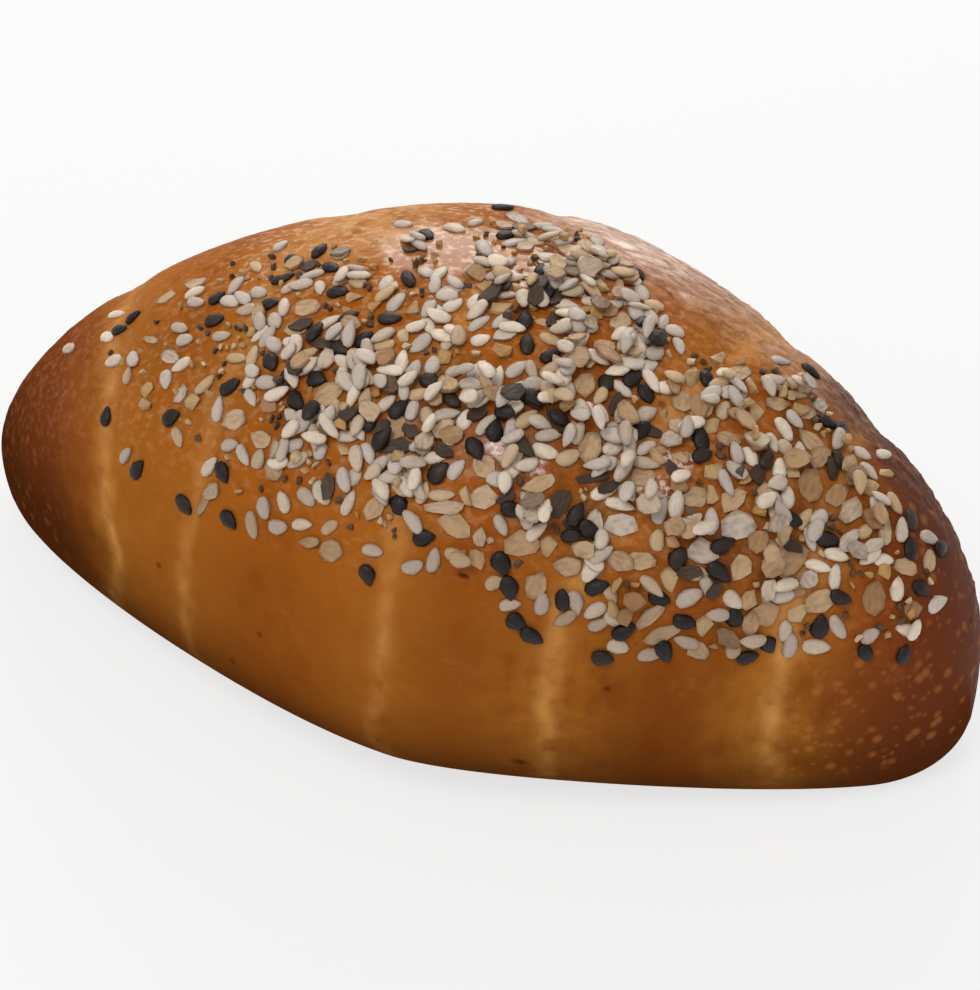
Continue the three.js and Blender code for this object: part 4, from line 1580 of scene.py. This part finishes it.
white_finish = bpy.data.materials.new("white_sesame")
WHITE_TONES = [srgb(243, 225, 203), srgb(206, 192, 180), srgb(214, 180, 136), srgb(150, 124, 100)]
finish_seeds(white_finish, WHITE_TONES)
white_sesame = sprinkle("white_sesame", white_shapes, white_finish, 0.08 * MM)
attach(white_sesame, "root")
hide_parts("loaf")

black_finish = bpy.data.materials.new("black_sesame")
BLACK_TONES = [srgb(33, 24, 20), srgb(42, 32, 30), srgb(56, 41, 30), srgb(18, 13, 11)]
finish_seeds(black_finish, BLACK_TONES)
black_sesame = sprinkle("black_sesame", black_shapes, black_finish, 0.12 * MM)
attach(black_sesame, "root")
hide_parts("loaf")
print("sesame:", len(white_sesame.data.polygons), "white and", len(black_sesame.data.polygons), "black faces")

# %% Onion flakes and garlic grains
def finish_flakes(material, colours, stripe_share):
    """A dried, half see-through skin with stripes along the piece, toasted patches, burnt pieces, and painted
    shade in the low fringe.
    """
    tree, shader, place, own, (tone, shade, low) = start_topping(material)
    pale, tan, brown, toasted, burnt = colours
    stripes = noise(tree, stretched(tree, own, (0.6, 3.0, 1.0)), 0.4, seed=41, detail=3.0)
    mottle = noise(tree, place, 1.6 * MM, seed=43, detail=3.0)
    flat = stretched(tree, own, (1, 1, 0))
    from_middle = add_node(tree, "ShaderNodeVectorMath", {0: flat}, operation="LENGTH")
    reach = Field(tree, from_middle.outputs["Value"])
    rings = (reach * 22.0 + stripes * 6.0 + shade * 9.0).math("SINE") * stripe_share * 0.13
    patches = stripes * stripe_share + mottle * 0.7 + rings + reach.rise(0.3, 0.52) * 0.5 + shade * 0.3
    feed(tree, shader.inputs["Base Color"], lay_over(tree, pale, [
        (tone.rise(0.0, 0.5), tan),
        (tone.rise(0.55, 1.0), brown),
        (patches.clamp(), toasted),
        # painted shade: more toasted colour in the low fringe
        (low * 0.4, toasted),
        (shade.rise(0.86, 0.92) * 0.9, burnt),
    ]))
    feed(tree, shader.inputs["Roughness"], (mottle * 0.12 + 0.5).clamp())
    bump(tree, shader, stripes * stripe_share + mottle * 0.6, 0.14 * MM)


flake_finish = bpy.data.materials.new("dried_onion")
FLAKE_TONES = [
    srgb(206, 190, 174), srgb(198, 164, 124), srgb(168, 124, 82), srgb(122, 84, 52), srgb(46, 34, 27),
]
finish_flakes(flake_finish, FLAKE_TONES, 0.6)
onion_flakes = sprinkle("onion_flakes", flake_shapes, flake_finish, 0.1 * MM)
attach(onion_flakes, "root")
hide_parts("loaf")

grain_finish = bpy.data.materials.new("dried_garlic")
GRAIN_TONES = [
    srgb(214, 190, 150), srgb(192, 158, 112), srgb(196, 146, 80), srgb(134, 92, 52), srgb(66, 48, 36),
]
finish_flakes(grain_finish, GRAIN_TONES, 0.4)
garlic_grains = sprinkle("garlic_grains", grain_shapes, grain_finish, 0.12 * MM)
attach(garlic_grains, "root")
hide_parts("loaf")
print("flakes:", len(onion_flakes.data.polygons), "faces; grains:", len(garlic_grains.data.polygons), "faces")

# %% [markdown]
# ## Floor and light
#
# The photograph is a cut-out on near white, lit softly from all round, with a long pale sheen on the far
# shoulder and small sparkles on the near side of the crest. So the loaf stands on a plain pale floor under
# an even white sky. A wide soft light low behind it makes the sheen, and a smaller one above the near side
# makes the sparkles, both helped by painted highlights in the crust's colour. Each light's direction is the
# one that the surface mirrors towards the camera.

# %% The floor
def finish_floor(material):
    start_finish(
        material, Specular_IOR_Level=0.0, Roughness=1.0, Base_Color=(0.25, 0.25, 0.25, 1),
        Emission_Color=(1, 1, 1, 1), Emission_Strength=0.72)


floor_work = bmesh.new()
bmesh.ops.create_grid(floor_work, x_segments=1, y_segments=1, size=4.0)
floor_mesh = bpy.data.meshes.new("floor")
floor_work.to_mesh(floor_mesh)
floor_work.free()
floor = bpy.data.objects.new("floor", floor_mesh)
scene.collection.objects.link(floor)
floor_finish = bpy.data.materials.new("pale_floor")
finish_floor(floor_finish)
floor_mesh.materials.append(floor_finish)
print("the floor is plain and pale")

# %% The lights
def soft_light(name, direction, distance, size, watts, tint):
    """A square area light that faces the loaf from a direction."""
    light = bpy.data.lights.new(name, "AREA")
    light.shape = "SQUARE"
    light.size = size
    light.energy = watts
    light.color = tint
    piece = bpy.data.objects.new(name, light)
    away = Vector(direction).normalized()
    piece.location = TARGET + away * distance
    piece.rotation_euler = away.to_track_quat("Z", "Y").to_euler()
    scene.collection.objects.link(piece)
    return piece


BACK_DIRECTION = (-0.31, 0.82, 0.46)
KEY_DIRECTION = (-0.11, -0.40, 0.78)
SKY_STRENGTH = 0.46
soft_light("back_light", BACK_DIRECTION, distance=0.7, size=0.42, watts=2.3, tint=(1.0, 0.98, 0.96))
soft_light("key_light", KEY_DIRECTION, distance=0.7, size=0.3, watts=1.75, tint=(1.0, 0.98, 0.94))

world = bpy.data.worlds.new("soft_sky")
world.use_nodes = True
sky = world.node_tree.nodes["Background"]
sky.inputs["Color"].default_value = (1, 1, 1, 1)
sky.inputs["Strength"].default_value = SKY_STRENGTH
scene.world = world
scene.view_settings.view_transform = "Standard"
print("two soft lights under an even sky")
